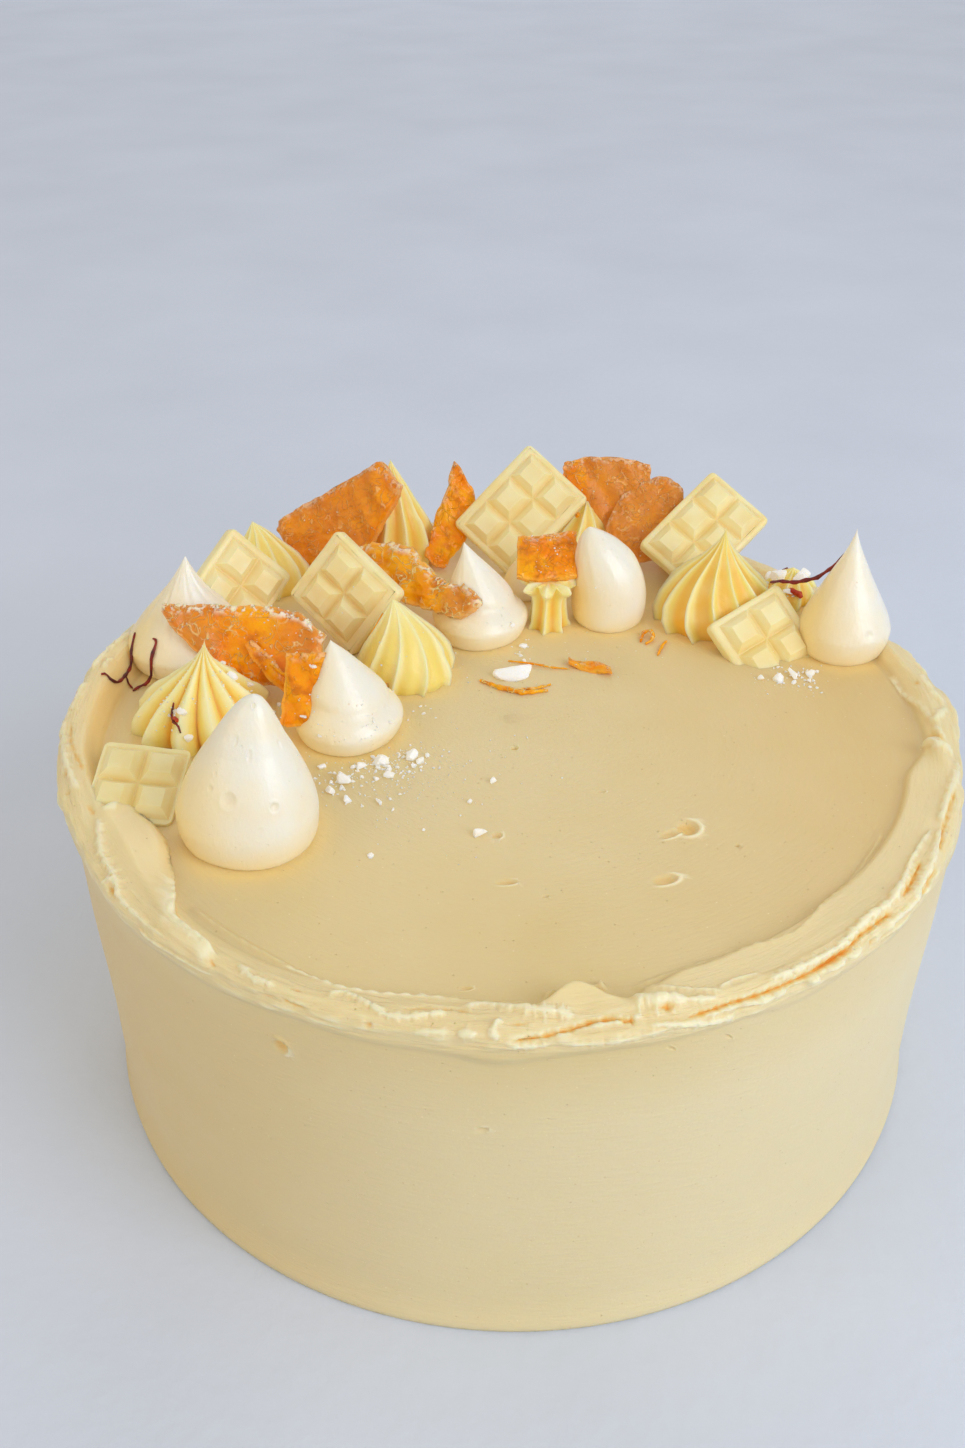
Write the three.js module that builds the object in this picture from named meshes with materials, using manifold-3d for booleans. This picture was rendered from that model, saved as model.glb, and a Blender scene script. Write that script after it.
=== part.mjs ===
// Mango cake: a tall round buttercream cake, crowned on its far and left side with meringue kisses, piped
// swirls, white chocolate blocks and slices of candied mango. Millimetres, +Z up, the origin under the middle.
import * as THREE from "three";
import { mergeVertices } from "three/addons/utils/BufferGeometryUtils.js";
import Module from "manifold-3d";

// Driving dimensions
const CAKE_RADIUS = 103;
const TOP = 89.6; // height of the smoothed top
const CLEARANCE = 0.3; // what neighbouring pieces keep between them
const COLUMNS = 104; // facets round the cake
const BASE_FLARE = 0.7; // icing pressed outwards at the foot
const CROWN_HEIGHT = 3.6; // how far the icing of the side stands above the top
const CROWN_RADIUS = 99.6; // middle line of the swept crown
const LIP_RADIUS = 104.2; // where the crown turns over into the side
const INNER_RADIUS = 96.3; // where the swept icing ends on the top
const CREVICE = 1.1;
const PIP_PITCH = 9.5; // one moulded pyramid to the next
const PIP_FOOT = 8.7;
const PIP_CREST = 5.2;
const PIP_HEIGHT = 1.9;
const BLOCK_THICKNESS = 3.4;
const BLOCK_BEVEL = 0.9;
const BLOCK_CORNER = 1.6;
const KISS_COLUMNS = 18;
const KISS_ROWS = 10;
const SWIRL_RIDGES = 9;
const SWIRL_ROWS = 9;
const RIDGE_REACH = 1.07; // of the swirl's radius
const FLUTE_REACH = 0.84;

const ICING = { color: 0xefdca4, roughness: 0.55, metalness: 0 };
const MERINGUE = { color: 0xf5edd8, roughness: 0.45, metalness: 0 };
const BUTTERCREAM = { color: 0xf6d77c, roughness: 0.5, metalness: 0 };
const WHITE_CHOCOLATE = { color: 0xf2e2ac, roughness: 0.35, metalness: 0 };
const MANGO = { color: 0xe8901c, roughness: 0.4, metalness: 0 };

const wasm = await Module();
wasm.setup();

const radians = THREE.MathUtils.degToRad;

// A smooth hill of height 1 round one azimuth, in degrees, which falls away over the given spread.
function hill(azimuth, centre, spread) {
  const away = ((((azimuth - centre) % 360) + 540) % 360) - 180;
  return Math.exp(-((away / spread) ** 2));
}

// A smooth step from 0 to 1 as the value goes from low to high.
function ease(value, low, high) {
  return THREE.MathUtils.smoothstep(value, low, high);
}

// Closed geometry to a solid, with shared corners merged and the flat slivers at the poles dropped.
function solidOf(geometry) {
  const bare = geometry.clone();
  bare.deleteAttribute("normal");
  bare.deleteAttribute("uv");
  const merged = mergeVertices(bare, 1e-4);
  const corners = merged.index.array;
  const kept = [];
  for (let i = 0; i < corners.length; i += 3) {
    const [a, b, c] = corners.slice(i, i + 3);
    if (a !== b && b !== c && c !== a) kept.push(a, b, c);
  }
  const solid = { numProp: 3, vertProperties: merged.attributes.position.array, triVerts: new Uint32Array(kept) };
  return new wasm.Manifold(new wasm.Mesh(solid));
}

function geometryOf(solid) {
  const mesh = solid.getMesh();
  const geometry = new THREE.BufferGeometry();
  geometry.setAttribute("position", new THREE.BufferAttribute(mesh.vertProperties, 3));
  geometry.setIndex(new THREE.BufferAttribute(mesh.triVerts, 1));
  return geometry;
}

// The same solid with every face moved outwards by the clearance, to cut a neighbour with.
function grownSolid(solid) {
  const geometry = geometryOf(solid);
  const place = geometry.attributes.position;
  const corners = geometry.index.array;
  const facing = Array.from({ length: place.count }, () => new THREE.Vector3());
  const faces = Array.from({ length: place.count }, () => []);
  const triangle = new THREE.Triangle();
  const normal = new THREE.Vector3();
  for (let i = 0; i < corners.length; i += 3) {
    triangle.setFromAttributeAndIndices(place, corners[i], corners[i + 1], corners[i + 2]);
    triangle.getNormal(normal);
    for (const corner of corners.slice(i, i + 3)) {
      facing[corner].add(normal);
      faces[corner].push(normal.clone());
    }
  }
  const sharpest = 0.45; // keeps needle points from running away
  facing.forEach((out, i) => {
    out.normalize();
    const least = Math.max(sharpest, Math.min(...faces[i].map((face) => face.dot(out))));
    const step = CLEARANCE / least;
    place.setXYZ(i, place.getX(i) + out.x * step, place.getY(i) + out.y * step, place.getZ(i) + out.z * step);
  });
  return solidOf(geometry);
}

// A lathed body whose every point is then moved by sculpt(point, azimuth in degrees, row).
function sculptedLathe(profile, columns, sculpt) {
  const points = profile.map(([radius, height]) => new THREE.Vector2(radius, height));
  const geometry = new THREE.LatheGeometry(points, columns);
  geometry.rotateX(Math.PI / 2);
  const place = geometry.attributes.position;
  const point = new THREE.Vector3();
  for (let i = 0; i < place.count; i++) {
    const row = i % profile.length;
    const turn = (Math.floor(i / profile.length) % columns) / columns;
    point.set(profile[row][0], 0, profile[row][1]);
    sculpt(point, turn * 360, row);
    place.setXYZ(i, point.x, point.y, point.z);
  }
  return geometry;
}

// How the crown of swept icing changes round the cake. 270 is the front.
function crownAt(azimuth) {
  const band = ease(azimuth, 280, 292) * (1 - ease(azimuth, 344, 355)); // broad and smooth
  const bandEnd = hill(azimuth, 351, 4);
  const flap = hill(azimuth, 211, 9); // folded over on to the top
  const tall = ease(azimuth, 128, 150) * (1 - ease(azimuth, 190, 212)); // high icing on the left
  const ridge = hill(azimuth, 249, 14); // lies further out
  const lobe = hill(azimuth, 268, 4);
  const peak = hill(azimuth, 277, 4.5); // a tongue of icing dragged inwards
  const ripple = Math.sin(radians(azimuth * 7)) * 0.35 + Math.sin(radians(azimuth * 13 + 40)) * 0.3;
  const creased = hill(azimuth, 279, 9) + hill(azimuth, 306, 13) + hill(azimuth, 332, 14) + hill(azimuth, 199, 6);
  return {
    inner: INNER_RADIUS - 4.8 * band - 7.5 * flap - 2.2 * hill(azimuth, 262, 8) - 3.6 * peak,
    middle: CROWN_RADIUS - 7 * flap + 2.4 * ridge - 5 * peak - 1.2 * bandEnd,
    height: CROWN_HEIGHT + ripple + 2.6 * flap - hill(azimuth, 236, 6) + 2.2 * peak + 1.4 * bandEnd + 2.2 * tall,
    outer: CROWN_HEIGHT * 0.75 + ripple * 0.8 + 0.9 * lobe + 3.2 * tall,
    lip: LIP_RADIUS + ripple * 0.7 + 1.8 * lobe + 1.2 * hill(azimuth, 2, 6) + 1.6 * tall,
    crevice: CREVICE * creased,
    step: 0.9 + 0.6 * band,
  };
}

// The iced cake: foot, side, turned lip, crown with its crevice, the step of the swept band and the flat top.
function icedCake() {
  const rows = [
    () => [0, 0],
    () => [CAKE_RADIUS - 3, 0],
    () => [CAKE_RADIUS + BASE_FLARE * 0.6, 0.4],
    () => [CAKE_RADIUS + BASE_FLARE, 2.2],
    () => [CAKE_RADIUS - 0.4, 7],
    () => [CAKE_RADIUS - 0.4, TOP * 0.35],
    () => [CAKE_RADIUS + 0.4, TOP * 0.7],
    (crown) => [crown.lip - 0.4, TOP - 7],
    (crown) => [crown.lip + 0.3, TOP - 2.2],
    (crown) => [crown.lip, TOP + crown.outer * 0.6],
    (crown) => [(crown.lip + crown.middle) / 2 + 0.9, TOP + crown.outer],
    (crown) => [(crown.lip + crown.middle) / 2, TOP + crown.outer - crown.crevice],
    (crown) => [crown.middle, TOP + crown.height],
    (crown) => [crown.middle - 1.8, TOP + crown.height * 0.82],
    (crown) => [crown.inner + 0.6, TOP + crown.step],
    (crown) => [crown.inner, TOP],
    () => [CAKE_RADIUS * 0.7, TOP],
    () => [0, TOP],
  ];
  const flat = rows.map((row) => row(crownAt(0)));
  return sculptedLathe(flat, COLUMNS, (point, azimuth, row) => {
    const [radius, height] = rows[row](crownAt(azimuth));
    const angle = radians(azimuth);
    point.set(radius * Math.cos(angle), radius * Math.sin(angle), height);
  });
}

// A meringue kiss: belly, then a flank that runs up to a point bent by tip. Fullness sets how round the
// flank is, sharpness how thin the point, and nub how blunt its end.
function kiss({ at, radius, height, tip, fullness, sharpness, nub = 0 }) {
  const belly = 0.2;
  const sunk = 1.2;
  const profile = [[0, -sunk], [radius * 0.93, -sunk]];
  for (let i = 0; i <= KISS_ROWS - 3; i++) {
    const up = i / (KISS_ROWS - 3);
    const swell = i === 0 ? 1 : (1 - up ** fullness) ** sharpness;
    const blunt = nub * ease(up, 0.6, 0.95) * Math.sqrt(1 - up ** 14);
    profile.push([radius * swell + blunt, height * (belly + (1 - belly) * up)]);
  }
  const body = sculptedLathe(profile, KISS_COLUMNS, (point, azimuth) => {
    const angle = radians(azimuth);
    const up = Math.max(0, point.z / height);
    const lump = 1 + 0.025 * Math.sin(angle * 2 + radius) + 0.015 * Math.sin(angle * 3 + height);
    const bend = up ** 2.2;
    const reach = point.x * lump;
    point.set(reach * Math.cos(angle) + tip[0] * bend, reach * Math.sin(angle) + tip[1] * bend, point.z);
  });
  return body.translate(at[0], at[1], TOP);
}

// A swirl from a star nozzle: sharp ridges with hollow flutes between, wound round the axis by twist degrees and
// bowed halfway up by curl degrees. Slimness hollows its flank towards the tip and shoulder fills it out lower
// down. A crushed swirl has lost its point and ends in a flat ruffled top.
function swirl(sizes) {
  const { at, radius, height, tip, twist, crushed } = sizes;
  const { ridges = SWIRL_RIDGES, start = 0, curl = 0, slimness = 1, shoulder = 1 } = sizes;
  const sunk = 1.2;
  const columns = ridges * 2;
  const profile = [[0, -sunk], [radius * 0.9, -sunk]];
  for (let i = 0; i <= SWIRL_ROWS - 3; i++) {
    const up = i / (SWIRL_ROWS - 3);
    const level = 0.12 + 0.88 * up ** 0.85;
    const flank = Math.cos((level ** shoulder * Math.PI) / 2) ** slimness;
    const swell = crushed ? 1 - 0.12 * Math.sin(up * Math.PI) : flank;
    profile.push([i === SWIRL_ROWS - 3 && !crushed ? 0 : radius * swell, height * level]);
  }
  if (crushed) profile.push([0, height]);
  const body = sculptedLathe(profile, columns, (point, azimuth) => {
    const ridge = Math.round((azimuth / 360) * columns) % 2 === 0;
    const up = THREE.MathUtils.clamp(point.z / height, 0, 1);
    const angle = radians(azimuth + start + twist * up + curl * Math.sin(up * Math.PI));
    const reach = point.x * (ridge ? RIDGE_REACH : FLUTE_REACH);
    const bend = up ** 1.6;
    point.set(reach * Math.cos(angle) + tip[0] * bend, reach * Math.sin(angle) + tip[1] * bend, point.z);
  });
  return body.translate(at[0], at[1], TOP);
}

// Turns a piece whose face looks along +Z so that the face looks along azimuth and elevation, rolls it in its
// own plane and brings it to its place, given from the cake's top.
function leant(geometry, { at, azimuth, elevation, roll }) {
  const across = radians(azimuth);
  const rise = radians(elevation);
  const facing = new THREE.Vector3(
    Math.cos(rise) * Math.cos(across),
    Math.cos(rise) * Math.sin(across),
    Math.sin(rise),
  );
  const sideways = new THREE.Vector3(0, 0, 1).cross(facing).normalize();
  const upwards = facing.clone().cross(sideways);
  const turn = new THREE.Matrix4().makeBasis(sideways, upwards, facing);
  return geometry
    .rotateZ(radians(roll))
    .applyMatrix4(turn)
    .translate(at[0], at[1], TOP + at[2]);
}

// A block broken from a bar of white chocolate: a slab with round corners and a grid of flat-topped pyramids.
function chocolateBlock({ width, height, columns, rows, pose }) {
  const w = width / 2 - BLOCK_BEVEL;
  const h = height / 2 - BLOCK_BEVEL;
  const c = BLOCK_CORNER;
  const outline = new THREE.Shape();
  outline.moveTo(c - w, -h);
  outline.lineTo(w - c, -h);
  outline.quadraticCurveTo(w, -h, w, c - h);
  outline.lineTo(w, h - c);
  outline.quadraticCurveTo(w, h, w - c, h);
  outline.lineTo(c - w, h);
  outline.quadraticCurveTo(-w, h, -w, h - c);
  outline.lineTo(-w, c - h);
  outline.quadraticCurveTo(-w, -h, c - w, -h);
  const slab = new THREE.ExtrudeGeometry(outline, {
    depth: BLOCK_THICKNESS - 2 * BLOCK_BEVEL,
    bevelThickness: BLOCK_BEVEL,
    bevelSize: BLOCK_BEVEL,
    bevelSegments: 1,
    curveSegments: 2,
  }).translate(0, 0, BLOCK_BEVEL - BLOCK_THICKNESS);
  let block = solidOf(slab);
  const buried = 0.4;
  for (let i = 0; i < columns * rows; i++) {
    const pip = new THREE.CylinderGeometry(
      PIP_CREST / Math.SQRT2,
      PIP_FOOT / Math.SQRT2,
      PIP_HEIGHT + buried,
      4,
    );
    pip.rotateX(Math.PI / 2).rotateZ(Math.PI / 4);
    const x = ((i % columns) - (columns - 1) / 2) * PIP_PITCH;
    const y = (Math.floor(i / columns) - (rows - 1) / 2) * PIP_PITCH;
    pip.translate(x, y, (PIP_HEIGHT - buried) / 2);
    block = block.add(solidOf(pip));
  }
  return leant(geometryOf(block), pose);
}

// A slice of candied mango: stations along its length, each [along, lower edge, upper edge], given a thickness
// and curled across and along, with its edges thinner than its middle.
function mangoSlice({ stations, thickness, curl = [0, 0], pose }) {
  const across = 4;
  const count = stations.length;
  const slab = new THREE.BoxGeometry(1, 1, 1, count - 1, across - 1, 1);
  const place = slab.attributes.position;
  for (let i = 0; i < place.count; i++) {
    const station = stations[Math.round((place.getX(i) + 0.5) * (count - 1))];
    const part = place.getY(i) + 0.5;
    const along = station[0];
    const up = THREE.MathUtils.lerp(station[1], station[2], part);
    const edge = Math.min(1, 0.62 + 1.5 * Math.min(part, 1 - part));
    const bow = curl[0] * along ** 2 + curl[1] * up ** 2;
    const wave = 0.35 * Math.sin(along * 0.9 + up * 0.5);
    place.setXYZ(i, along, up, place.getZ(i) * thickness * edge + bow + wave);
  }
  return leant(slab, pose);
}

// A seeded row of numbers between 0 and 1, the same on every run.
function seeded(seed) {
  let state = seed;
  return () => {
    state = (state * 16807) % 2147483647;
    return state / 2147483647;
  };
}

// One lump of broken meringue, squashed and turned at random.
function crumb(x, y, size, random) {
  const lump = new THREE.IcosahedronGeometry(size, 0);
  lump.scale(0.8 + 0.5 * random(), 0.7 + 0.4 * random(), 0.75 + 0.3 * random());
  lump.rotateX(random() * 3).rotateZ(random() * 6);
  return lump.translate(x, y, TOP + size * 0.35);
}

const KISSES = {
  kiss_front_left: {
    at: [-55.8, -44.1], radius: 15, height: 35.3, tip: [4, 0], fullness: 1.5, sharpness: 1, nub: 1.6,
  },
  kiss_left_middle: {
    at: [-38.4, -5.2], radius: 12.5, height: 24.2, tip: [-3.1, 1], fullness: 1.25, sharpness: 1.05,
  },
  kiss_left_back: { at: [-82.3, 28.6], radius: 15.8, height: 27.8, tip: [1.4, 1], fullness: 1.3, sharpness: 1.45 },
  kiss_centre: { at: [-8.4, 41.4], radius: 12.2, height: 25.4, tip: [-4, 1], fullness: 1.15, sharpness: 1.1 },
  kiss_centre_right: { at: [25.4, 49], radius: 10, height: 26.4, tip: [-4.6, 0], fullness: 2.6, sharpness: 0.8 },
  kiss_right: { at: [85, 34.3], radius: 11.7, height: 33.7, tip: [-0.5, 0], fullness: 1.25, sharpness: 1.4 },
  kiss_behind_centre: { at: [5, 63], radius: 7.5, height: 15, tip: [1, 0], fullness: 1.4, sharpness: 1.1 },
};

const SWIRLS = {
  swirl_left: {
    at: [-73.8, -2.6], radius: 16.5, height: 23.7, tip: [3.2, 0], twist: -14, slimness: 2, ridges: 11,
  },
  swirl_middle: { at: [-26.2, 19.9], radius: 12.1, height: 20.3, tip: [-3, 2], twist: 34, start: 12 },
  swirl_left_back: { at: [-66.6, 66.5], radius: 10.4, height: 18.8, tip: [-4.5, 1], twist: 30, start: 5 },
  swirl_back: { at: [-32.8, 81.7], radius: 10.6, height: 30.6, tip: [-1, 0], twist: 12, start: 8, slimness: 1.1 },
  swirl_centre: { at: [9.5, 44.5], radius: 6, height: 13, tip: [0, 0], twist: 6, crushed: true, ridges: 7 },
  swirl_right: {
    at: [53.7, 48.5], radius: 15.9, height: 27.4, tip: [1.3, 0], twist: -16, start: 4, curl: -11, slimness: 2,
    shoulder: 1.15, ridges: 12,
  },
  swirl_far_right: { at: [75, 60], radius: 8.5, height: 9, tip: [1, 0], twist: 18 },
  swirl_back_centre: { at: [21, 86], radius: 11, height: 17, tip: [0, 0], twist: 14, start: 4 },
  swirl_back_right: { at: [53, 80], radius: 11, height: 16, tip: [1, 0], twist: 14, start: 15 },
};

const BLOCKS = {
  block_front_left: {
    width: 19.4, height: 20.6, columns: 2, rows: 2,
    pose: { at: [-82.3, -32.5, 4.5], azimuth: -74.5, elevation: 72.8, roll: -18.9 },
  },
  block_left_back: {
    width: 22, height: 21, columns: 2, rows: 2,
    pose: { at: [-70.6, 41.5, 13], azimuth: -53, elevation: 22, roll: 37 },
  },
  block_middle: {
    width: 21.9, height: 24.2, columns: 2, rows: 2,
    pose: { at: [-43.2, 35.2, 14.3], azimuth: -113.7, elevation: 24.4, roll: 59.7 },
  },
  block_back: {
    width: 31.1, height: 23.1, columns: 3, rows: 2,
    pose: { at: [2.3, 80.7, 15.7], azimuth: -91.8, elevation: 36.5, roll: 48 },
  },
  block_right: {
    width: 22.5, height: 21.2, columns: 2, rows: 2,
    pose: { at: [64.8, 30.3, 4.3], azimuth: -77.1, elevation: 45.5, roll: 23.6 },
  },
  block_back_right: {
    width: 30.8, height: 21.4, columns: 3, rows: 2,
    pose: { at: [53.2, 72.9, 13.4], azimuth: -86.1, elevation: 49.4, roll: 44 },
  },
};

const SLICES = {
  mango_left: {
    thickness: 3.6, curl: [0.004, 0],
    stations: [[-24.5, 6.5, 8.5], [-17, -1, 9], [-8, -7, 9.8], [2, -9, 10.4], [10, -8, 9.8], [15.8, 1, 5]],
    pose: { at: [-62, 15, 10], azimuth: -94, elevation: 32, roll: -4 },
  },
  mango_on_kiss: {
    thickness: 3.2, curl: [0, 0.008],
    stations: [[-3.4, -5.2, 11.7], [-1.5, -5.6, 12], [3, -4.4, 12.6], [6, -3, 13]],
    pose: { at: [-49.5, -9, 9.6], azimuth: -104, elevation: 30, roll: 0 },
  },
  mango_back_left: {
    thickness: 3.8, curl: [0.003, 0],
    stations: [
      [-21, -4, -1], [-14, -12, 4], [-3.4, -15, 11.4], [4.5, -13, 17], [8, -4, 19.6], [11.5, 4, 17.2],
      [15, 11, 14],
    ],
    pose: { at: [-46, 73, 14], azimuth: -112, elevation: 20, roll: 0 },
  },
  mango_spike: {
    thickness: 3, curl: [0, 0.004],
    stations: [
      [-13.2, -10, -7.6], [-10.6, -13, -3], [-8.4, -12.8, 3.4], [-4.7, -9.5, 8.3], [-1.6, -6.8, 16.4],
      [0.4, -3.5, 13], [2.8, 2, 6.5],
    ],
    pose: { at: [-13, 84, 11.5], azimuth: -75, elevation: 34, roll: 0 },
  },
  mango_middle: {
    thickness: 3.2, curl: [0.002, 0],
    stations: [
      [-26, 0.5, 4.5], [-20, -3.5, 7.4], [-11.4, -5.6, 7.8], [-5, -6.2, 3.8], [1, -6.7, 1.6], [7, -6.4, 2.6],
      [12, -3.6, -0.4],
    ],
    pose: { at: [-18, 39, 14], azimuth: -118, elevation: 42, roll: 0 },
  },
  mango_on_swirl: {
    thickness: 3.2, curl: [0.006, 0],
    stations: [[-8.8, -6, 5], [-3, -6.8, 5.8], [2.4, -6.2, 6.4], [6.8, -5.8, 6.8]],
    pose: { at: [10, 49, 17.5], azimuth: -90, elevation: 50, roll: 0 },
  },
  mango_fan: {
    thickness: 2.8, curl: [0.002, 0.003],
    stations: [[-13.1, 3, 8], [-9, -9, 9.2], [-4, -15, 10.3], [4, -16, 9.8], [9, -12, 8.6], [11.8, 2, 8]],
    pose: { at: [27, 88, 18], azimuth: -90, elevation: 22, roll: 0 },
  },
  mango_back_right: {
    thickness: 2.8, curl: [0, 0.002],
    stations: [[-19.6, -7, -3], [-15.9, -11, 3.5], [-10.5, -15, 9.1], [-2.5, -13, 9.9], [2.6, -6, 6.6]],
    pose: { at: [46, 84, 14], azimuth: -88, elevation: 40, roll: 0 },
  },
  mango_sliver: {
    thickness: 2.2, curl: [0.01, 0],
    stations: [[-7.6, -1, 1], [-3, -2.2, 1.8], [3, -2.2, 1.8], [8.4, -0.8, 1.2]],
    pose: { at: [-59.1, 10.2, 8], azimuth: -80, elevation: 30, roll: -55 },
  },
  mango_flake: {
    thickness: 1.2, curl: [0, 0],
    stations: [[-5.5, -0.4, 2.3], [-1.2, -2.2, 1.5], [3, -3.6, 0.6], [5.2, -4.6, -1]],
    pose: { at: [19.7, 23, 0.95], azimuth: -90, elevation: 88, roll: 0 },
  },
};

// The larger crumbs of broken meringue on the top: [x, y, size].
const CRUMBS = [
  [-30.1, -18.5, 2], [-23.3, -16.9, 1.9], [-38.3, -26.3, 2], [-40.3, -30.4, 1.5], [-43.3, -21.6, 1.2],
  [-36.1, -33.3, 1.2], [-28.8, -34.5, 1.1], [-20.9, -18.9, 1], [-27.4, -24.3, 0.9], [-3.9, -26, 1.1],
  [-7.1, -44.4, 1.6], [62.1, 17.6, 1], [66.2, 16.4, 1.1], [70.4, 17.6, 1.2], [74.6, 18.8, 1.1], [3.1, 32, 1.1],
];

const group = new THREE.Group();
const cutters = [];

// Adds a piece fused from its bodies, cut back to clear what is already there, and keeps its largest part.
// Later pieces are cut by the grown bodies.
function add(name, bodies, finish) {
  let shaped = bodies.reduce((fused, body) => fused.add(body));
  for (const cutter of cutters) shaped = shaped.subtract(cutter);
  const [largest] = shaped.decompose().sort((a, b) => b.volume() - a.volume());
  const clearing = bodies.length > 1 ? bodies : [largest];
  cutters.push(...clearing.map(grownSolid));
  const mesh = new THREE.Mesh(geometryOf(largest), new THREE.MeshStandardMaterial(finish));
  mesh.name = name;
  group.add(mesh);
}

function shard() {
  const piece = new THREE.DodecahedronGeometry(4, 0);
  piece.scale(1.35, 0.8, 0.55).rotateZ(0.3);
  return piece.translate(0.5, 19, TOP + 1);
}

const random = seeded(41);
const crumbs = CRUMBS.map(([x, y, size]) => solidOf(crumb(x, y, size, random)));
add("cake", [solidOf(icedCake()), ...crumbs], ICING);
for (const [name, sizes] of Object.entries(KISSES)) add(name, [solidOf(kiss(sizes))], MERINGUE);
for (const [name, sizes] of Object.entries(SWIRLS)) add(name, [solidOf(swirl(sizes))], BUTTERCREAM);
for (const [name, sizes] of Object.entries(BLOCKS)) add(name, [solidOf(chocolateBlock(sizes))], WHITE_CHOCOLATE);
for (const [name, sizes] of Object.entries(SLICES)) add(name, [solidOf(mangoSlice(sizes))], MANGO);
add("meringue_shard", [solidOf(shard())], MERINGUE);

export default group;
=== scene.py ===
"""Dresses the mango cake: buttercream, meringue kisses, piped swirls, white chocolate and candied mango.

Lengths are millimetres and angles degrees unless a name says otherwise. Azimuth 0 looks along +X from the
middle of the cake and azimuth 270 faces the viewer.
"""

import logging
import math
from dataclasses import dataclass, field, replace
from enum import Enum
from itertools import pairwise
from typing import Callable, Sequence

import bpy
import numpy as np
from mathutils import Matrix, Vector
from mathutils.bvhtree import BVHTree


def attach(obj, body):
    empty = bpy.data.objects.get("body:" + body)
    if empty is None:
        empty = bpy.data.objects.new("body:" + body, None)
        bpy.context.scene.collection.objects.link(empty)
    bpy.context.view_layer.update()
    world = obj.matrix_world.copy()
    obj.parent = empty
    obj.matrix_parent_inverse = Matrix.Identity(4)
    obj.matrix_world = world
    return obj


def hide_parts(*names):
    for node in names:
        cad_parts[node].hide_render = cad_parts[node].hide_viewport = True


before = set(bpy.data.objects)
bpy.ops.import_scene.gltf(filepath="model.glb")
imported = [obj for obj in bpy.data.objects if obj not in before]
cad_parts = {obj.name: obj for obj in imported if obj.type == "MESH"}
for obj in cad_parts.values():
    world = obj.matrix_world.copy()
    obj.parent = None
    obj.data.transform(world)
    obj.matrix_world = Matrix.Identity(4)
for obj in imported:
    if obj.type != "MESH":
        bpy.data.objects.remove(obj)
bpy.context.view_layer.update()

Point2 = tuple[float, float]
Point3 = tuple[float, float, float]
Colour = tuple[float, float, float, float]
Array = np.ndarray
Piece = bpy.types.Object
Socket = bpy.types.NodeSocket
Material = bpy.types.Material

MM = 0.001
TOP = 89.6  # height of the smoothed top
CAKE_RADIUS = 103.0
ROOT = "root"
MERGE_GAP = 1e-6  # metres

log = logging.getLogger("mango_cake")


# Numbers

def ease(value: Array, low: float, high: float) -> Array:
    """A smooth step from 0 to 1 as the value goes from low to high."""
    part = np.clip((value - low) / (high - low), 0, 1)
    return part * part * (3 - 2 * part)


def bell(value: Array, width: float | Array) -> Array:
    """A smooth bell of height 1 round 0."""
    return np.exp(-((value / width) ** 2))


def hill(azimuth: Array, centre: float, spread: float) -> Array:
    """A smooth hill of height 1 round one azimuth."""
    away = (azimuth - centre + 180) % 360 - 180
    return bell(away, spread)


def rumple(points: Array, pitch: float | Sequence[float], seed: int) -> Array:
    """Smooth random swells over space.

    Args:
        points: One row of three coordinates for each point.
        pitch: The size of a swell, in the points' unit, or one size for each axis.
        seed: Picks one pattern out of many.

    Returns:
        A value between -1 and 1 for each point.
    """
    scaled = points / np.asarray(pitch, float)
    low = np.floor(scaled).astype(np.int64)
    part = scaled - low
    part = part * part * (3 - 2 * part)
    total = np.zeros(len(points))
    for corner in np.ndindex(2, 2, 2):
        cell = (low + np.array(corner)) * np.array([73856093, 19349663, 83492791])
        mixed = cell.sum(axis=1) + seed * 9781 + 1013
        mixed = (mixed ^ (mixed >> 13)) * 1274126177 & 0x7FFFFFFF
        mixed = (mixed ^ (mixed >> 15)) * 2246822519 & 0x7FFFFFFF
        value = ((mixed >> 7) & 0xFFFF) / 32767.5 - 1
        share = np.prod(np.where(np.array(corner), part, 1 - part), axis=1)
        total += value * share
    return total


def polar(points: Array) -> tuple[Array, Array]:
    """How far each point is from the axis, and its angle round it in radians."""
    return np.hypot(points[:, 0], points[:, 1]), np.arctan2(points[:, 1], points[:, 0])


def paint(code: str) -> Colour:
    """The linear colour of a six-digit screen colour."""
    parts = [int(code[i : i + 2], 16) / 255 for i in (0, 2, 4)]
    linear = [part / 12.92 if part <= 0.04045 else ((part + 0.055) / 1.055) ** 2.4 for part in parts]
    return (*linear, 1.0)


def towards(azimuth: float, elevation: float) -> Vector:
    """The direction of an azimuth and an elevation, of length 1."""
    turn, rise = math.radians(azimuth), math.radians(elevation)
    return Vector((math.cos(rise) * math.cos(turn), math.cos(rise) * math.sin(turn), math.sin(rise)))


# Bench work: what hands do with the modelling tools

def clear_selection() -> None:
    """Goes to object mode with nothing selected."""
    if bpy.context.object is not None and bpy.context.object.mode != "OBJECT":
        bpy.ops.object.mode_set(mode="OBJECT")
    bpy.ops.object.select_all(action="DESELECT")


def open_up() -> None:
    """Goes to edit mode with the whole piece selected."""
    bpy.ops.object.mode_set(mode="EDIT")
    bpy.ops.mesh.select_all(action="SELECT")


def put_down() -> None:
    """Goes back to object mode."""
    bpy.ops.object.mode_set(mode="OBJECT")


def weld() -> None:
    """Merges the doubles of the piece in edit mode, turns its faces outwards and puts it down."""
    bpy.ops.mesh.select_all(action="SELECT")
    bpy.ops.mesh.remove_doubles(threshold=MERGE_GAP)
    bpy.ops.mesh.normals_make_consistent(inside=False)
    put_down()


def take_up(piece: Piece) -> None:
    """Makes one piece the only selected one."""
    clear_selection()
    piece.select_set(True)
    bpy.context.view_layer.objects.active = piece


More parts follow.
